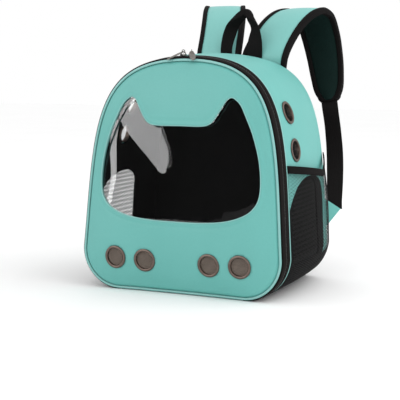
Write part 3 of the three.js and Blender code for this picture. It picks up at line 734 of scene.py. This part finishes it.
def build_door():
    """The padded sheet: rolled at the window, tucked down beside the piping, holed for the vents."""
    outer = grown(door_ring, EDGE_TUCK)
    holes = [window_ring] + [circle((x, z), VENT_SEAT) for _, x, z in DOOR_VENTS]
    rims = [grown(window_ring, d) for d in WINDOW_RIMS] + [grown(outer, -d) for d in EDGE_RIMS]
    flat, faces = outlined_sheet(outer, holes, rims, DOOR_PITCH)
    from_window = spread(window_ring, flat)
    from_edge = spread(outer, flat)
    x, z = flat.T
    y = door_y(x, z) + turned_in(from_edge, *EDGE_DROP)
    y -= roll(from_edge, *EDGE_ROLL) + roll(from_window, *WINDOW_ROLL) + roll(from_window, *WINDOW_GROOVE)
    door = make_piece("door", np.stack([x, y, z], -1), faces, [mint, black_cloth],
                      ["front_panel"], fabric=flat, centre=BODY_MIDDLE)
    # The film mirrors the room rather than the edge of its own opening
    door.visible_glossy = False
    thicken(door, DOOR_WALL, 1)


def film_drop(x, z):
    """How far the film lies behind its plain dome."""
    lean = FILM_LEAN * (np.clip(z, *FILM_LEAN_SPAN) - FILM_LEAN_SPAN[0])
    begin, full = FILM_RIGHT_SPAN
    ramp = np.clip(x - begin, 0, full - begin)
    fall = FILM_RIGHT_FALL * (ramp**2 / (2 * (full - begin)) + np.clip(x - full, 0, None))
    to_x, to_z = x - FOLD_START[0], z - FOLD_START[1]
    along = to_x * FOLD_ALONG[0] + to_z * FOLD_ALONG[1]
    across = np.clip(-to_x * FOLD_ALONG[1] + to_z * FOLD_ALONG[0], 0, FOLD_WIDTH)
    tip = FOLD_LENGTH - FOLD_TIP * (across / FOLD_WIDTH) ** FOLD_POWER
    tip = tip - FOLD_BLUNT * np.clip(1 - across / FOLD_ROUND, 0, 1) ** 2
    return lean + fall + FOLD_TILT * across * soft_step((tip + FOLD_STEP - along) / FOLD_STEP)


def build_window():
    flat, faces = outlined_sheet(grown(window_ring, FILM_LAP), [], [], FILM_PITCH)
    x, z = flat.T
    y = door_y(x, z) + FILM_OFFSET + film_drop(x, z)
    film = make_piece("window_sheet", np.stack([x, y, z], -1), faces, [film_clear],
                      ["window_film"], centre=BODY_MIDDLE)
    thicken(film, FILM_THICKNESS)

    trim = grown(window_ring, TRIM_GROW)
    section = rounded_section(0.8, 1.5, 8, 2.5)
    x, z = np.stack([grown(trim, side) for side in section[:, 0]], 1).T
    y = door_y(*trim.T)[:, None] + TRIM_SEAT + section[:, 1]
    sweep("window_trim", np.stack([x.T, y, z.T], -1), [mint_edge_painted_highlight], closed=True)


def build_piping():
    loop = round_steps(0, 0, 480)[:, None]
    turn = full_turn(12)
    depth = PIPING_RADIUS * (1 - np.cos(turn))
    inset = PIPING_INSET + PIPING_RADIUS * (1 - np.sin(turn))
    sweep("piping", skin(loop, depth, inset), [mint_edge_painted_highlight], ["front_piping"], closed=True)


build_door()
build_window()
build_piping()


# Zip
def band(name, steps, depths, inset, thickness, materials, nodes=(), crown=0.0):
    """A flat tape round the bag between two depths; steps are outline steps."""
    section = rounded_section((depths[1] - depths[0]) / 2, thickness / 2, 14, 6.0)
    depth = section[:, 0] + sum(depths) / 2
    middle = 1 - (2 * section[:, 0] / (depths[1] - depths[0])) ** 2
    rows = skin(steps[:, None], depth, inset + thickness / 2 - section[:, 1] - crown * middle)
    sweep(name, rows, materials, nodes)


def build_zip():
    run = over_steps(COIL_DEPTH, 1, 5, 420)
    for name, depths in (("front", TAPE_FRONT), ("rear", TAPE_REAR)):
        band(f"tape_{name}", run, depths, TAPE_INSET, TAPE_THICKNESS, [tape_cloth], [f"zip_tape_{name}"])

    count = int(run_length(skin(run, COIL_DEPTH, 0))[-1] / TOOTH_PITCH)
    places = over_steps(COIL_DEPTH, 1.01, 4.99, count)
    base = skin(places, COIL_DEPTH, -TOOTH_RISE)
    along = unit(np.gradient(base, axis=0))
    back = unit(skin(places, COIL_DEPTH + 2, TOOTH_RISE) - skin(places, COIL_DEPTH - 2, TOOTH_RISE))
    out = np.cross(along, back)
    out *= np.sign((out * (base - BODY_MIDDLE)).sum(1))[:, None]
    tilt = np.linspace(-1, 1, 5) * math.pi / 2 * 0.92
    turn = full_turn(8)
    local = TOOTH_HALF * np.array([
        (math.cos(t) * math.cos(a), math.sin(t), math.cos(t) * math.sin(a)) for t in tilt for a in turn
    ])
    tooth_faces = tube_faces(len(tilt), len(turn))
    teeth = []
    for k in range(len(base)):
        spot = base[k] + (TOOTH_SHIFT if k % 2 else -TOOTH_SHIFT) * back[k]
        teeth.append((spot + local @ np.stack([along[k], back[k], out[k]]), tooth_faces))
    make_piece("coil", *joined(teeth), [coil_plastic], ["zip_coil"], centre=BODY_MIDDLE)

    band("bottom_hinge", np.linspace(-1, 1, 60), HINGE_DEPTHS, 0.2, HINGE_THICKNESS, [mint],
         ["hinge_strip"], crown=0.4)


build_zip()


# Band round the bag
SIDE_SCALE = 110
COLUMNS = 400
BAND_ROWS = 52
MIDDLE_DEPTH = 100.0
# How far the cloth turns in at its edges, and over which width
FRONT_TUCK = (0.9, 5)
REAR_TUCK = (1.4, 7)
WELT_DEPTHS = (25.5, 28.2)
BACK_INSET = 3.3
BACK_WALL = 7.0
BACK_SWELL = 6.5
BACK_ROLL = 1.2
BACK_CALM_Z = 300
BACK_CALM_SPAN = 40
BACK_CALM_SHARE = 0.15


def on_side(y, z):
    """The outline step and depth of the skin's point at y and z on the right side."""
    depth = np.full_like(y, MIDDLE_DEPTH)
    for _ in range(4):
        u = np.array([outline_at_height(b, d) for b, d in zip(z, depth)])
        x = skin(u, depth, 0)[:, 0]
        front = door_edge_y(x, z)
        depth = BODY_DEPTH * (y - front) / (BACK_Y - front)
    return u, depth


def arch_outline(grow=0.0):
    """The arched window in outline step and depth, as a closed flat outline."""
    front, rear = ARCH_FRONT_Y - grow, ARCH_REAR_Y + grow
    base, top = ARCH_BASE_Z - grow, ARCH_TOP_Z + grow
    turn = np.linspace(0, np.pi / 2, 14)
    rear_y = ARCH_CROWN_Y + (rear - ARCH_CROWN_Y) * np.cos(turn)
    rear_z = ARCH_REAR_SPRING_Z + (top - ARCH_REAR_SPRING_Z) * np.sin(turn)
    front_y = ARCH_CROWN_Y - (ARCH_CROWN_Y - front) * np.sin(turn)
    front_z = ARCH_FRONT_SPRING_Z + (top - ARCH_FRONT_SPRING_Z) * np.cos(turn)
    low_y = np.linspace(front, rear, 16)
    y = np.concatenate([low_y, rear_y, front_y[1:]])
    z = np.concatenate([np.full(16, base), rear_z, front_z[1:]])
    u, depth = on_side(y, z)
    return np.stack([u * SIDE_SCALE, depth], -1)


def side_vent_ring(depth, z):
    u = outline_at_height(z, depth)
    run, rise = circle((0, 0), SIDE_VENT_SEAT).T
    return np.stack([(u + rise / skin_rate(u, depth)) * SIDE_SCALE, depth + run], -1)


arch_ring = arch_outline()


def build_band():
    loop = even_steps(lambda u: skin(u, MIDDLE_DEPTH, 0), -3, 3, COLUMNS)[:-1]
    depth = np.linspace(BAND_FRONT_DEPTH, BODY_DEPTH, BAND_ROWS)
    flat = np.stack(np.broadcast_arrays(loop[None, :] * SIDE_SCALE, depth[:, None]), -1).reshape(-1, 2)
    holes = [arch_ring, arch_ring * (-1, 1)]
    for name, d, z in SIDE_VENTS:
        holes.append(side_vent_ring(d, z) * (-1 if name.endswith("left") else 1, 1))
    flat, faces = carve(flat, grid_faces(BAND_ROWS, COLUMNS, closed_columns=True), holes)
    panel = np.stack(on_side(*np.array(PANEL, float).T), -1) * (SIDE_SCALE, 1)
    folded = np.abs(flat)
    middle = folded[faces].mean(1)
    dark = inside(panel, middle) | (middle[:, 0] < BASE_TURN * SIDE_SCALE)
    seam = np.intersect1d(faces[dark], faces[~dark])
    seam = seam[spread(panel, folded[seam]) < PANEL_SNAP]
    flat[seam] = nearest_on(panel, folded[seam]) * np.sign(flat[seam])
    u, depth = flat[:, 0] / SIDE_SCALE, flat[:, 1]
    tuck = turned_in(depth - BAND_FRONT_DEPTH, *FRONT_TUCK)
    tuck += turned_in(BODY_DEPTH - depth, *REAR_TUCK, 2)
    piece = make_piece("band", skin(u, depth, tuck), faces, [mint, black_cloth, black_cloth],
                       ["body_gusset"], fabric=flat, centre=BODY_MIDDLE, marks=dark)
    thicken(piece, BAND_WALL, 2)
    band("band_welt", over_steps(27, 1.3, 4.7, 420), WELT_DEPTHS, -1.0, 2.0, [mint_edge_painted_highlight])


def build_back():
    ring = skin(round_steps(BODY_DEPTH, BACK_INSET, 240), BODY_DEPTH, BACK_INSET)[:, [0, 2]]
    middle = np.array((0, DOOR_CENTRE_Z))
    shares = np.concatenate([np.linspace(0.06, 0.9, 22), np.linspace(0.92, 1, 6)])
    flat = np.vstack([middle[None], (middle + (ring - middle) * shares[:, None, None]).reshape(-1, 2)])
    reach = np.concatenate([[0], np.repeat(shares, len(ring))])
    clear = soft_step((BACK_CALM_Z - flat[:, 1]) / BACK_CALM_SPAN)
    calm = BACK_CALM_SHARE + (1 - BACK_CALM_SHARE) * clear
    swell = BACK_SWELL * (1 - reach**6) * calm - BACK_ROLL * reach**16
    outer = np.stack([flat[:, 0], BACK_Y - 0.5 + swell, flat[:, 1]], -1)
    inner = np.stack([flat[:, 0], np.full(len(flat), BACK_Y - BACK_WALL), flat[:, 1]], -1)
    count, around = len(flat), len(ring)
    fan = [(0, 1 + (k + 1) % around, 1 + k) for k in range(around)]
    rings = grid_faces(len(shares), around, closed_columns=True)
    sheet = fan + [tuple(1 + v for v in face) for face in rings]
    faces = sheet + [tuple(count + v for v in face)[::-1] for face in sheet]
    last = count - around
    for k in range(around):
        after = last + (k + 1) % around
        faces.append((last + k, after, count + after, count + last + k))
    piece = make_piece("back_pad", np.vstack([outer, inner]), faces, [black_cloth],
                       ["back_panel"], fabric=np.vstack([flat, flat]))


build_band()
build_back()


# Vents
def outward_frame(at, reach):
    """A point and its three axes from a surface at(a, b): along a, along b and out of the bag."""
    first = at(reach, 0) - at(-reach, 0)
    second = at(0, reach) - at(0, -reach)
    out = unit(np.cross(first, second))
    first = unit(first)
    return at(0, 0), np.stack([first, np.cross(out, first), out])


def door_frame(x, z):
    return outward_frame(lambda a, b: np.array([x + a, door_y(x + a, z + b), z + b]), 8)


def side_frame(depth, z):
    u = outline_at_height(z, depth)
    return outward_frame(lambda a, b: skin(u + b / 200, depth + a, 0), 5)


# Eyelet: radius and height above the wall, from the back of the barrel over the flange to the bore
VENT_PROFILE = [
    (VENT_BORE, -5.5), (13.0, -5.5), (13.2, -0.2), (VENT_RADIUS - 0.4, 0.0), (VENT_RADIUS, 0.35),
    (VENT_RADIUS - 0.1, 0.9), (VENT_RADIUS - 0.9, 1.5), (VENT_RADIUS - 2.0, 1.75), (13.3, 1.6),
    (VENT_BORE + 0.15, 1.1), (VENT_BORE, 0.4),
]
WIRE_DEPTH = 2.0
DOOR_WIRES = (1.55, 0.36, wire_paint)
# The side vents hold the same mesh as the door's; their wires take the black net as painted shade
SIDE_WIRES_PAINTED_DARK = (2.5, 0.17, net_thread)


def vent_ring(name, point, axes):
    local = [np.column_stack([circle((0, 0), r, 56), np.full(56, height)]) for r, height in VENT_PROFILE]
    rows = point + np.stack(local, 1) @ axes
    sweep(f"eyelet_{name}", rows, [ring_metal], [f"vent_ring_{name}"], closed=True)


def vent_wires(name, point, axes, pitch, thickness, material):
    reach = VENT_BORE + 0.3
    most = math.floor(reach / pitch)
    section = np.array([(0, 1), (1, 0), (0, -1), (-1, 0)]) * thickness
    wires = []
    for crossways in (0, 1):
        for line in range(-most, most + 1):
            offset = line * pitch
            half = math.sqrt(max(reach**2 - offset**2, 0.1))
            count = max(4, int(4 * half / pitch))
            run = np.linspace(-half, half, count)
            wave = thickness * np.cos(np.pi * (run / pitch + line + crossways))
            height = wave[:, None] + section[:, 1] - WIRE_DEPTH
            first, second = np.broadcast_arrays(run[:, None], offset + section[:, 0])
            local = np.stack([second, first, height] if crossways else [first, second, height], -1)
            wires.append((point + local.reshape(-1, 3) @ axes, tube_faces(count, len(section))))
    make_piece(f"wires_{name}", *joined(wires), [material], [f"vent_mesh_{name}"], "vent_mesh")


def build_vents():
    places = [(name, *door_frame(x, z)) for name, x, z in DOOR_VENTS]
    for name, depth, z in SIDE_VENTS:
        places.append((name, *map(flip_for(name), side_frame(depth, z))))
    for name, point, axes in places:
        vent_ring(name, point, axes)
        vent_wires(name, point, axes, *(DOOR_WIRES if "door" in name else SIDE_WIRES_PAINTED_DARK))


build_vents()


# Nets
MESH_PITCH = 1.5
MESH_MARGIN = 4
MESH_LAP = 3.0
MESH_INSET = 1.5
MESH_STRAND = 0.58
NET_PITCH_ALONG = 4.3
NET_PITCH_UP = 2.0
NET_HEIGHT = 184
NET_STAND = 1.05
NET_STRAND = 0.6
ELASTIC_STAND = 0.35
RUFFLE_HEIGHT = 0.25
RUFFLE_PITCH = 3.1


def pocket_top(depth):
    sag = np.minimum((depth - POCKET_FRONT) / (POCKET_RISE_START - POCKET_FRONT), 1)
    rise = np.clip((depth - POCKET_RISE_START) / (POCKET_REAR - POCKET_RISE_START), 0, None)
    return POCKET_TOP_Z - POCKET_SAG * sag + POCKET_REAR_RISE * rise**POCKET_RISE_POWER


def pocket_stand(depth, share):
    along = np.clip((depth - POCKET_FRONT) / (POCKET_REAR - POCKET_FRONT), 0, 1)
    bulge = POCKET_SWELL * np.sin(np.pi * along) ** 0.7 * np.sin(0.8 * np.pi * share**POCKET_SWELL_POWER)
    return NET_STAND + bulge


def height_steps(depth, drop):
    """Outline steps of the pocket's top edge, lowered by drop."""
    return np.array([outline_at_height(pocket_top(d) - drop, d) for d in depth])


def build_side_mesh(side, flip):
    low, high = arch_ring.min(0) - MESH_MARGIN, arch_ring.max(0) + MESH_MARGIN
    flat, faces = lattice(*(int(k) for k in (high - low) / MESH_PITCH))
    flat = low + flat * (high - low)
    middle = np.array([flat[list(face)].mean(0) for face in faces])
    hits = inside(arch_outline(MESH_LAP), middle)
    flat, faces = compact(flat, [face for face, hit in zip(faces, hits) if hit])
    points = skin(flat[:, 0] / SIDE_SCALE, flat[:, 1], MESH_INSET)
    window = make_piece(f"window_mesh_{side}", flip(points), faces, [net_thread],
                        [f"side_mesh_{side}"], centre=BODY_MIDDLE)
    strands(window, MESH_STRAND)


def build_pocket(side, flip):
    depth_span = POCKET_REAR - POCKET_FRONT
    columns = int(depth_span / NET_PITCH_ALONG / 2) * 2
    rows = int(NET_HEIGHT / NET_PITCH_UP / 2) * 2
    flat, faces = lattice(rows, columns)
    share = flat[:, 0]
    depth = POCKET_FRONT + depth_span * flat[:, 1]
    levels = np.linspace(POCKET_FRONT, POCKET_REAR, columns + 1)
    top = np.interp(depth, levels, height_steps(levels, ELASTIC_HEIGHT / 2 + 0.3))
    corner = POCKET_CORNER_START + (2 - POCKET_CORNER_START) * np.minimum(share, 0.5) / 0.5
    u = corner + (top - 2) * np.maximum(share - 0.5, 0) / 0.5
    points = skin(u, depth, -pocket_stand(depth, share))
    net = make_piece(f"pocket_{side}", flip(points), faces, [net_thread], [f"pocket_net_{side}"],
                     centre=BODY_MIDDLE)
    strands(net, NET_STRAND)


def build_elastic(side, flip):
    depth = np.linspace(POCKET_FRONT, POCKET_REAR, 150)
    edge = height_steps(depth, 0)
    section = rounded_section(ELASTIC_HEIGHT / 2, 0.9, 12, 4.0)
    ruffle = RUFFLE_HEIGHT * np.sin(depth * 2 * np.pi / RUFFLE_PITCH)
    step = edge[:, None] + section[:, 0] / skin_rate(edge, depth)[:, None]
    stand = (pocket_stand(depth, 1.0) + ELASTIC_STAND + ruffle)[:, None] + section[:, 1]
    rows = skin(step, depth[:, None], -stand)
    sweep(f"elastic_{side}", flip(rows), [black_webbing], [f"pocket_elastic_{side}"])


for side in ("right", "left"):
    for build in (build_side_mesh, build_pocket, build_elastic):
        build(side, flip_for(side))


# Straps
STRAP_ROUND = 0.95
BINDING_WIDTH = 8
BINDING_HALF = 5.4
BINDING_SHIFT = 2.1
BINDING_OVERLAP = 0.3
GRIP_REACH = 0.2
GRIP_EDGE = 0.08
GRIP_NARROWING = 0.06
TAB_EDGE = 0.4
TAB_PUFF = 0.9
TAB_FALL = 0.4
# Layers of a strap: back and front at its edge, and how far they swell in its middle
COVER_LAYER = (0.3, STRAP_FACE - 0.9, 0, 2.0)
LINING_LAYER = (-STRAP_PAD + 1.4, 0.0, 3.4, 0)


def strap_rows(side):
    last = len(STRAP_PATH) - 1
    rows = []
    for k, (x, y, z, half) in enumerate(STRAP_PATH):
        sway = math.sin(math.pi * min(k, STRAP_LEAN_ROWS) / STRAP_LEAN_ROWS)
        arch = math.sin(math.pi * k / last)
        rows.append((x + STRAP_LEAN[side] * sway, y, z + STRAP_LIFT[side] * arch, half, 0))
    return rows


def strap_layer(name, place, half_at, layer, materials, nodes, slot, flip):
    """A layer of a strap, rounded at its end and inside the binding."""
    low, high, crown_low, crown_high = layer
    s = np.linspace(0, 0.985, 130)[:, None]
    across = np.linspace(-1, 1, 19)[None]
    beyond = np.clip((s - STRAP_ROUND) / (1 - STRAP_ROUND), 0, 1)
    half = half_at(np.minimum(s, STRAP_ROUND)) * np.sqrt(1 - beyond**2)
    half = np.maximum(half - BINDING_WIDTH + 1, 0.6)
    puff = (1 - across**2) ** 0.75
    top = place(s, across * half, high + crown_high * puff)
    bottom = place(s, across * half, low - crown_low * puff)
    rows = np.concatenate([top, bottom[:, ::-1]], axis=1)
    return sweep(name, flip(rows), materials, nodes, slot)


def build_strap(side):
    flip = flip_for(side)
    place, half_at = ribbon(strap_rows(side))
    # The cover takes the lighter copy of the mint cloth, which is painted light
    strap_layer(f"strap_cover_{side}", place, half_at, COVER_LAYER, [mint_strap_painted_light],
                [f"strap_face_{side}"], "mint_fabric", flip)
    pad = strap_layer(f"strap_lining_{side}", place, half_at, LINING_LAYER, [pad_cloth],
                      [f"strap_pad_{side}"], "dark_padding", flip)

    down = np.linspace(0, STRAP_ROUND, 120)
    bend = np.linspace(0, np.pi, 50)[1:-1]
    s = np.concatenate([down, STRAP_ROUND + (1 - STRAP_ROUND) * np.sin(bend), down[::-1]])
    edge = half_at(STRAP_ROUND)
    across = np.concatenate([half_at(down), edge * np.cos(bend), -half_at(down[::-1])])
    centre = place(s, across, 0.0)
    normal = place(s, across, 1.0) - centre
    inward = unit(np.cross(unit(np.gradient(centre, axis=0)), normal))
    inward *= np.sign((inward[0] * (place(0.0, 0.0, 0.0) - centre[0])).sum())
    section = rounded_section(BINDING_WIDTH / 2, BINDING_HALF, 18, 4.5)
    tape = centre[:, None] + inward[:, None] * (BINDING_WIDTH / 2 - BINDING_OVERLAP + section[:, :1])
    tape = tape + normal[:, None] * (section[:, 1:] - BINDING_SHIFT)
    sweep(f"strap_edge_{side}", flip(tape), [black_webbing], [f"strap_binding_{side}"])

    sewn = [(*place(t, 0.0, WEBBING_UNDER), WEBBING_HALF, 0) for t in WEBBING_SEWN]
    build_webbing(f"webbing_{side}", sewn + WEBBING_PATH, 0.9, [f"strap_webbing_{side}"], flip, 150)
    build_tab(side, flip)


def build_webbing(name, path, half_thickness, nodes, flip, count, grip=0.0):
    """A flat strap; grip is how much thicker it is folded in its middle, on its inner side."""
    place, half_at = ribbon(path)
    s = np.linspace(0, 1, count)[:, None]
    section = rounded_section(1.0, 1.0, 22, 5.0)
    fold = grip * soft_step((GRIP_REACH - np.abs(s - 0.5)) / GRIP_EDGE)
    half = half_at(s) * (1 - GRIP_NARROWING * fold)
    rows = place(s, section[:, 0] * half, section[:, 1] * (half_thickness + fold) + fold)
    sweep(name, flip(rows), [black_webbing], nodes)


def build_tab(side, flip):
    top, bottom, tip = np.array([(*TAB_SEAM, TAB_TOP_Z), (*TAB_SEAM, TAB_BOTTOM_Z), TAB_TIP])
    out = unit(np.cross(bottom - top, tip - top))
    out *= np.sign(out[1])
    up = np.linspace(0, 1, 16)
    seam = bottom + (top - bottom) * up[:, None]
    rows = []
    for share in np.linspace(0, 0.985, 20):
        line = seam + (tip - seam) * share
        puff = TAB_EDGE + TAB_PUFF * np.sin(np.pi * up) ** 0.6 * (1 - TAB_FALL * share)
        face, back = (line + out * (1.0 + side_puff)[:, None] for side_puff in (puff, -puff))
        rows.append(np.concatenate([face, back[::-1]]))
    sweep(f"tab_{side}", flip(rows), [mint], [f"strap_tab_{side}"])


for side in ("right", "left"):
    build_strap(side)
build_webbing("handle", HANDLE_PATH, 1.2, ["top_handle"], np.asarray, 180, grip=4.2)


# Zip sliders and pulls
def rounded_box(size, middle):
    """A box with rounded edges: points and faces."""
    shape = bmesh.new()
    bmesh.ops.create_cube(shape, size=1.0)
    for vertex in shape.verts:
        vertex.co = Vector(tuple(c * s for c, s in zip(vertex.co, size)))
    bmesh.ops.bevel(shape, geom=shape.edges[:], offset=min(size) * 0.3, segments=3, affect="EDGES",
                    profile=0.5)
    points = np.array([tuple(v.co) for v in shape.verts]) + middle
    faces = [tuple(v.index for v in f.verts) for f in shape.faces]
    shape.free()
    return points, faces


def bent_bar(centre, section):
    """A bar along a row of points: the section's first column lies sideways, across the bend."""
    sideways = np.array((0.0, 1.0, 0.0))
    out = np.cross(unit(np.gradient(centre, axis=0)), sideways)
    rows = centre[:, None] + section[:, :1] * sideways + section[:, 1:] * out[:, None]
    return rows.reshape(-1, 3), tube_faces(len(centre), len(section))


# Pull: share of its size and height, from the middle of its face over the rim to the edge
LEAF_PROFILE = [(0.45, 0.32), (0.8, 0.36), (0.86, 0.62), (0.97, 0.6), (1.0, 0.3)]
LEAF_HALF_WIDTH = 4.25


def leaf(length):
    """The flat of a pull with its rounded rim: points and faces."""
    half = (length - PULL_EYE) / 2
    rows = []
    for scale, height in LEAF_PROFILE + [(s, -h) for s, h in LEAF_PROFILE[::-1]]:
        flat = circle((0, 0), scale) * (half, LEAF_HALF_WIDTH) + (PULL_EYE + half, 0)
        rows.append(np.column_stack([flat, np.full(len(flat), height)]))
    return np.vstack(rows), tube_faces(len(rows), len(rows[0]))


def build_sliders():
    for name, x, yaw, slope, length in SLIDERS:
        u = 3 - abs(x) / (3 * TOP_REACH)
        seat = skin(-u if x < 0 else u, COIL_DEPTH, -SLIDER_RISE)
        base = np.array((x, seat[1], seat[2]))
        foot = SLIDER_HEIGHT - 0.5
        turn = np.linspace(0, np.pi, 18)
        arch = np.stack([BRIDGE_HALF * np.cos(turn), 0 * turn, foot + BRIDGE_RISE * np.sin(turn)], -1)
        boxes = [rounded_box(size, middle) for size, middle in SLIDER_BOXES]
        points, faces = joined(boxes + [bent_bar(arch, rounded_section(0.9, 0.7, 10, 2.4))])
        make_piece(f"slider_{name}", base + points, faces, [zip_metal], [f"zip_slider_{name}"])

        round_turn = np.linspace(0, 2 * np.pi, 28)
        eye = np.stack([PULL_EYE * np.cos(round_turn), 0 * round_turn, PULL_EYE * np.sin(round_turn)], -1)
        points, faces = joined([leaf(length), bent_bar(eye, rounded_section(0.5, 0.5, 8, 2.2))])
        dip, heading = math.radians(slope), math.radians(yaw - 90)
        turned = np.array(Matrix.Rotation(heading, 3, "Z") @ Matrix.Rotation(dip, 3, "Y"))
        points = points @ turned.T + base + (0, 0, foot + BRIDGE_RISE)
        make_piece(f"pull_{name}", points, faces, [zip_metal], [f"zip_pull_{name}"],
                   body=f"zip_pull_{name}")


build_sliders()


# Stage, light and camera
FLOOR_REACH = 6.0
FLOOR_Z = -0.0004
FLOOR_TONES = [(251.607,) * 3, (253.876,) * 3]
BOX_TONES = [(224.61, 224.61, 225.931), (255, 255, 255)]
KEY_PLACE = (1.4, 0.1, 1.6)
KEY_TARGET = (0, 0, 0.2)
KEY_SIZE = 1.7
KEY_POWER = 14
CAMERA_PLACE = (0.6346, -1.4007, 0.3130)
CAMERA_TARGET = (-0.0078, -0.0187, 0.1207)
CAMERA_LENS = 96.26
SENSOR_WIDTH = 36


def add_card(name, corners, material):
    """A flat face of the stage, its corners in metres."""
    mesh = bpy.data.meshes.new(name)
    mesh.from_pydata(corners, [], [tuple(range(len(corners)))])
    mesh.materials.append(material)
    card = add_object(name, mesh)
    return card


def aim_at(thing, place, target):
    thing.location = place
    thing.rotation_euler = (Vector(target) - Vector(place)).to_track_quat("-Z", "Y").to_euler()


def build_stage():
    paint = speckled("pale_floor", *FLOOR_TONES, 4.0, 0.0, Roughness=0.9, Specular_IOR_Level=0.0)
    corners = [(-1, -1), (1, -1), (1, 1), (-1, 1)]
    add_card("floor", [(x * FLOOR_REACH, y * FLOOR_REACH, FLOOR_Z) for x, y in corners], paint)


def build_light():
    """A pale studio: white behind the bag, dim in front, so that the film mirrors only the soft boxes."""
    world = bpy.data.worlds.new("studio")
    world.use_nodes = True
    tree = world.node_tree
    background = tree.nodes["Background"]
    background.inputs["Color"].default_value = (1, 1, 1, 1)
    path = add_node(tree, "ShaderNodeLightPath").outputs
    aim = add_node(tree, "ShaderNodeTexCoord").outputs["Generated"]
    rearward = add_node(tree, "ShaderNodeSeparateXYZ", {"Vector": aim}).outputs["Y"]
    wall = add_node(tree, "ShaderNodeMapRange", {"Value": rearward, "From Min": -0.25, "From Max": 0.35,
                                                 "To Min": 0.05, "To Max": 1.0}).outputs["Result"]
    mirrored_light = calc(tree, "MULTIPLY", path["Is Singular Ray"], calc(tree, "SUBTRACT", wall, 1.0))
    tree.links.new(calc(tree, "ADD", mirrored_light, 1.0), background.inputs["Strength"])
    bpy.context.scene.world = world
    key = bpy.data.lights.new("key", "AREA")
    key.shape = "RECTANGLE"
    key.size = key.size_y = KEY_SIZE
    key.energy = KEY_POWER
    aim_at(add_object("key", key), KEY_PLACE, KEY_TARGET)
    bpy.context.scene.view_settings.view_transform = "Standard"


# Soft boxes that the film mirrors: name, strength, corners in degrees to the side and up from the front
SOFT_BOXES = [
    ("fold_box", 9.5, [(-15.2, 13.6), (-30, 13.6), (-49, 17), (-49, 30), (-40, 36), (-20, 34),
                       (-15.2, 21)]),
    ("strip_box", 12.0, [(-49.5, 14), (-48, 9.7), (-45, 7.1), (-41.7, 4.2), (-43.9, 2.3), (-48.7, 2.2),
                         (-46.8, 4.2), (-52.5, 7), (-56, 9.5), (-57.5, 14), (-53, 15.5)]),
    ("low_box", 0.45, [(-20.5, 0.3), (-16, 2.6), (-8.5, 3.5), (4, 5.2), (4, 4.3), (-8.5, 2.4),
                       (-20, -0.4)]),
]
BOX_REACH = 6.0
WINDOW_MIDDLE = (-0.05, -0.1, 0.19)


def build_soft_boxes():
    """Glowing cards that only mirror-like surfaces see, so that they don't light the cloth."""
    for name, strength, corners in SOFT_BOXES:
        turn, rise = np.radians(corners).T
        aim = np.stack([np.sin(turn) * np.cos(rise), -np.cos(turn) * np.cos(rise), np.sin(rise)], -1)
        material, tree, _ = start_material(name)
        shade = two_tone(tree, noise(tree, 0.5, 1.0), *BOX_TONES)
        glow = add_node(tree, "ShaderNodeEmission", {"Color": shade, "Strength": strength})
        tree.links.new(glow.outputs["Emission"], tree.nodes["Material Output"].inputs["Surface"])
        card = add_card(name, (np.array(WINDOW_MIDDLE) + BOX_REACH * aim).tolist(), material)
        card.visible_camera = card.visible_diffuse = card.visible_transmission = card.visible_shadow = False


def build_camera():
    data = bpy.data.cameras.new("camera")
    data.sensor_width = SENSOR_WIDTH
    data.lens = CAMERA_LENS
    camera = add_object("camera", data)
    aim_at(camera, CAMERA_PLACE, CAMERA_TARGET)
    bpy.context.scene.camera = camera


build_stage()
build_light()
build_soft_boxes()
build_camera()
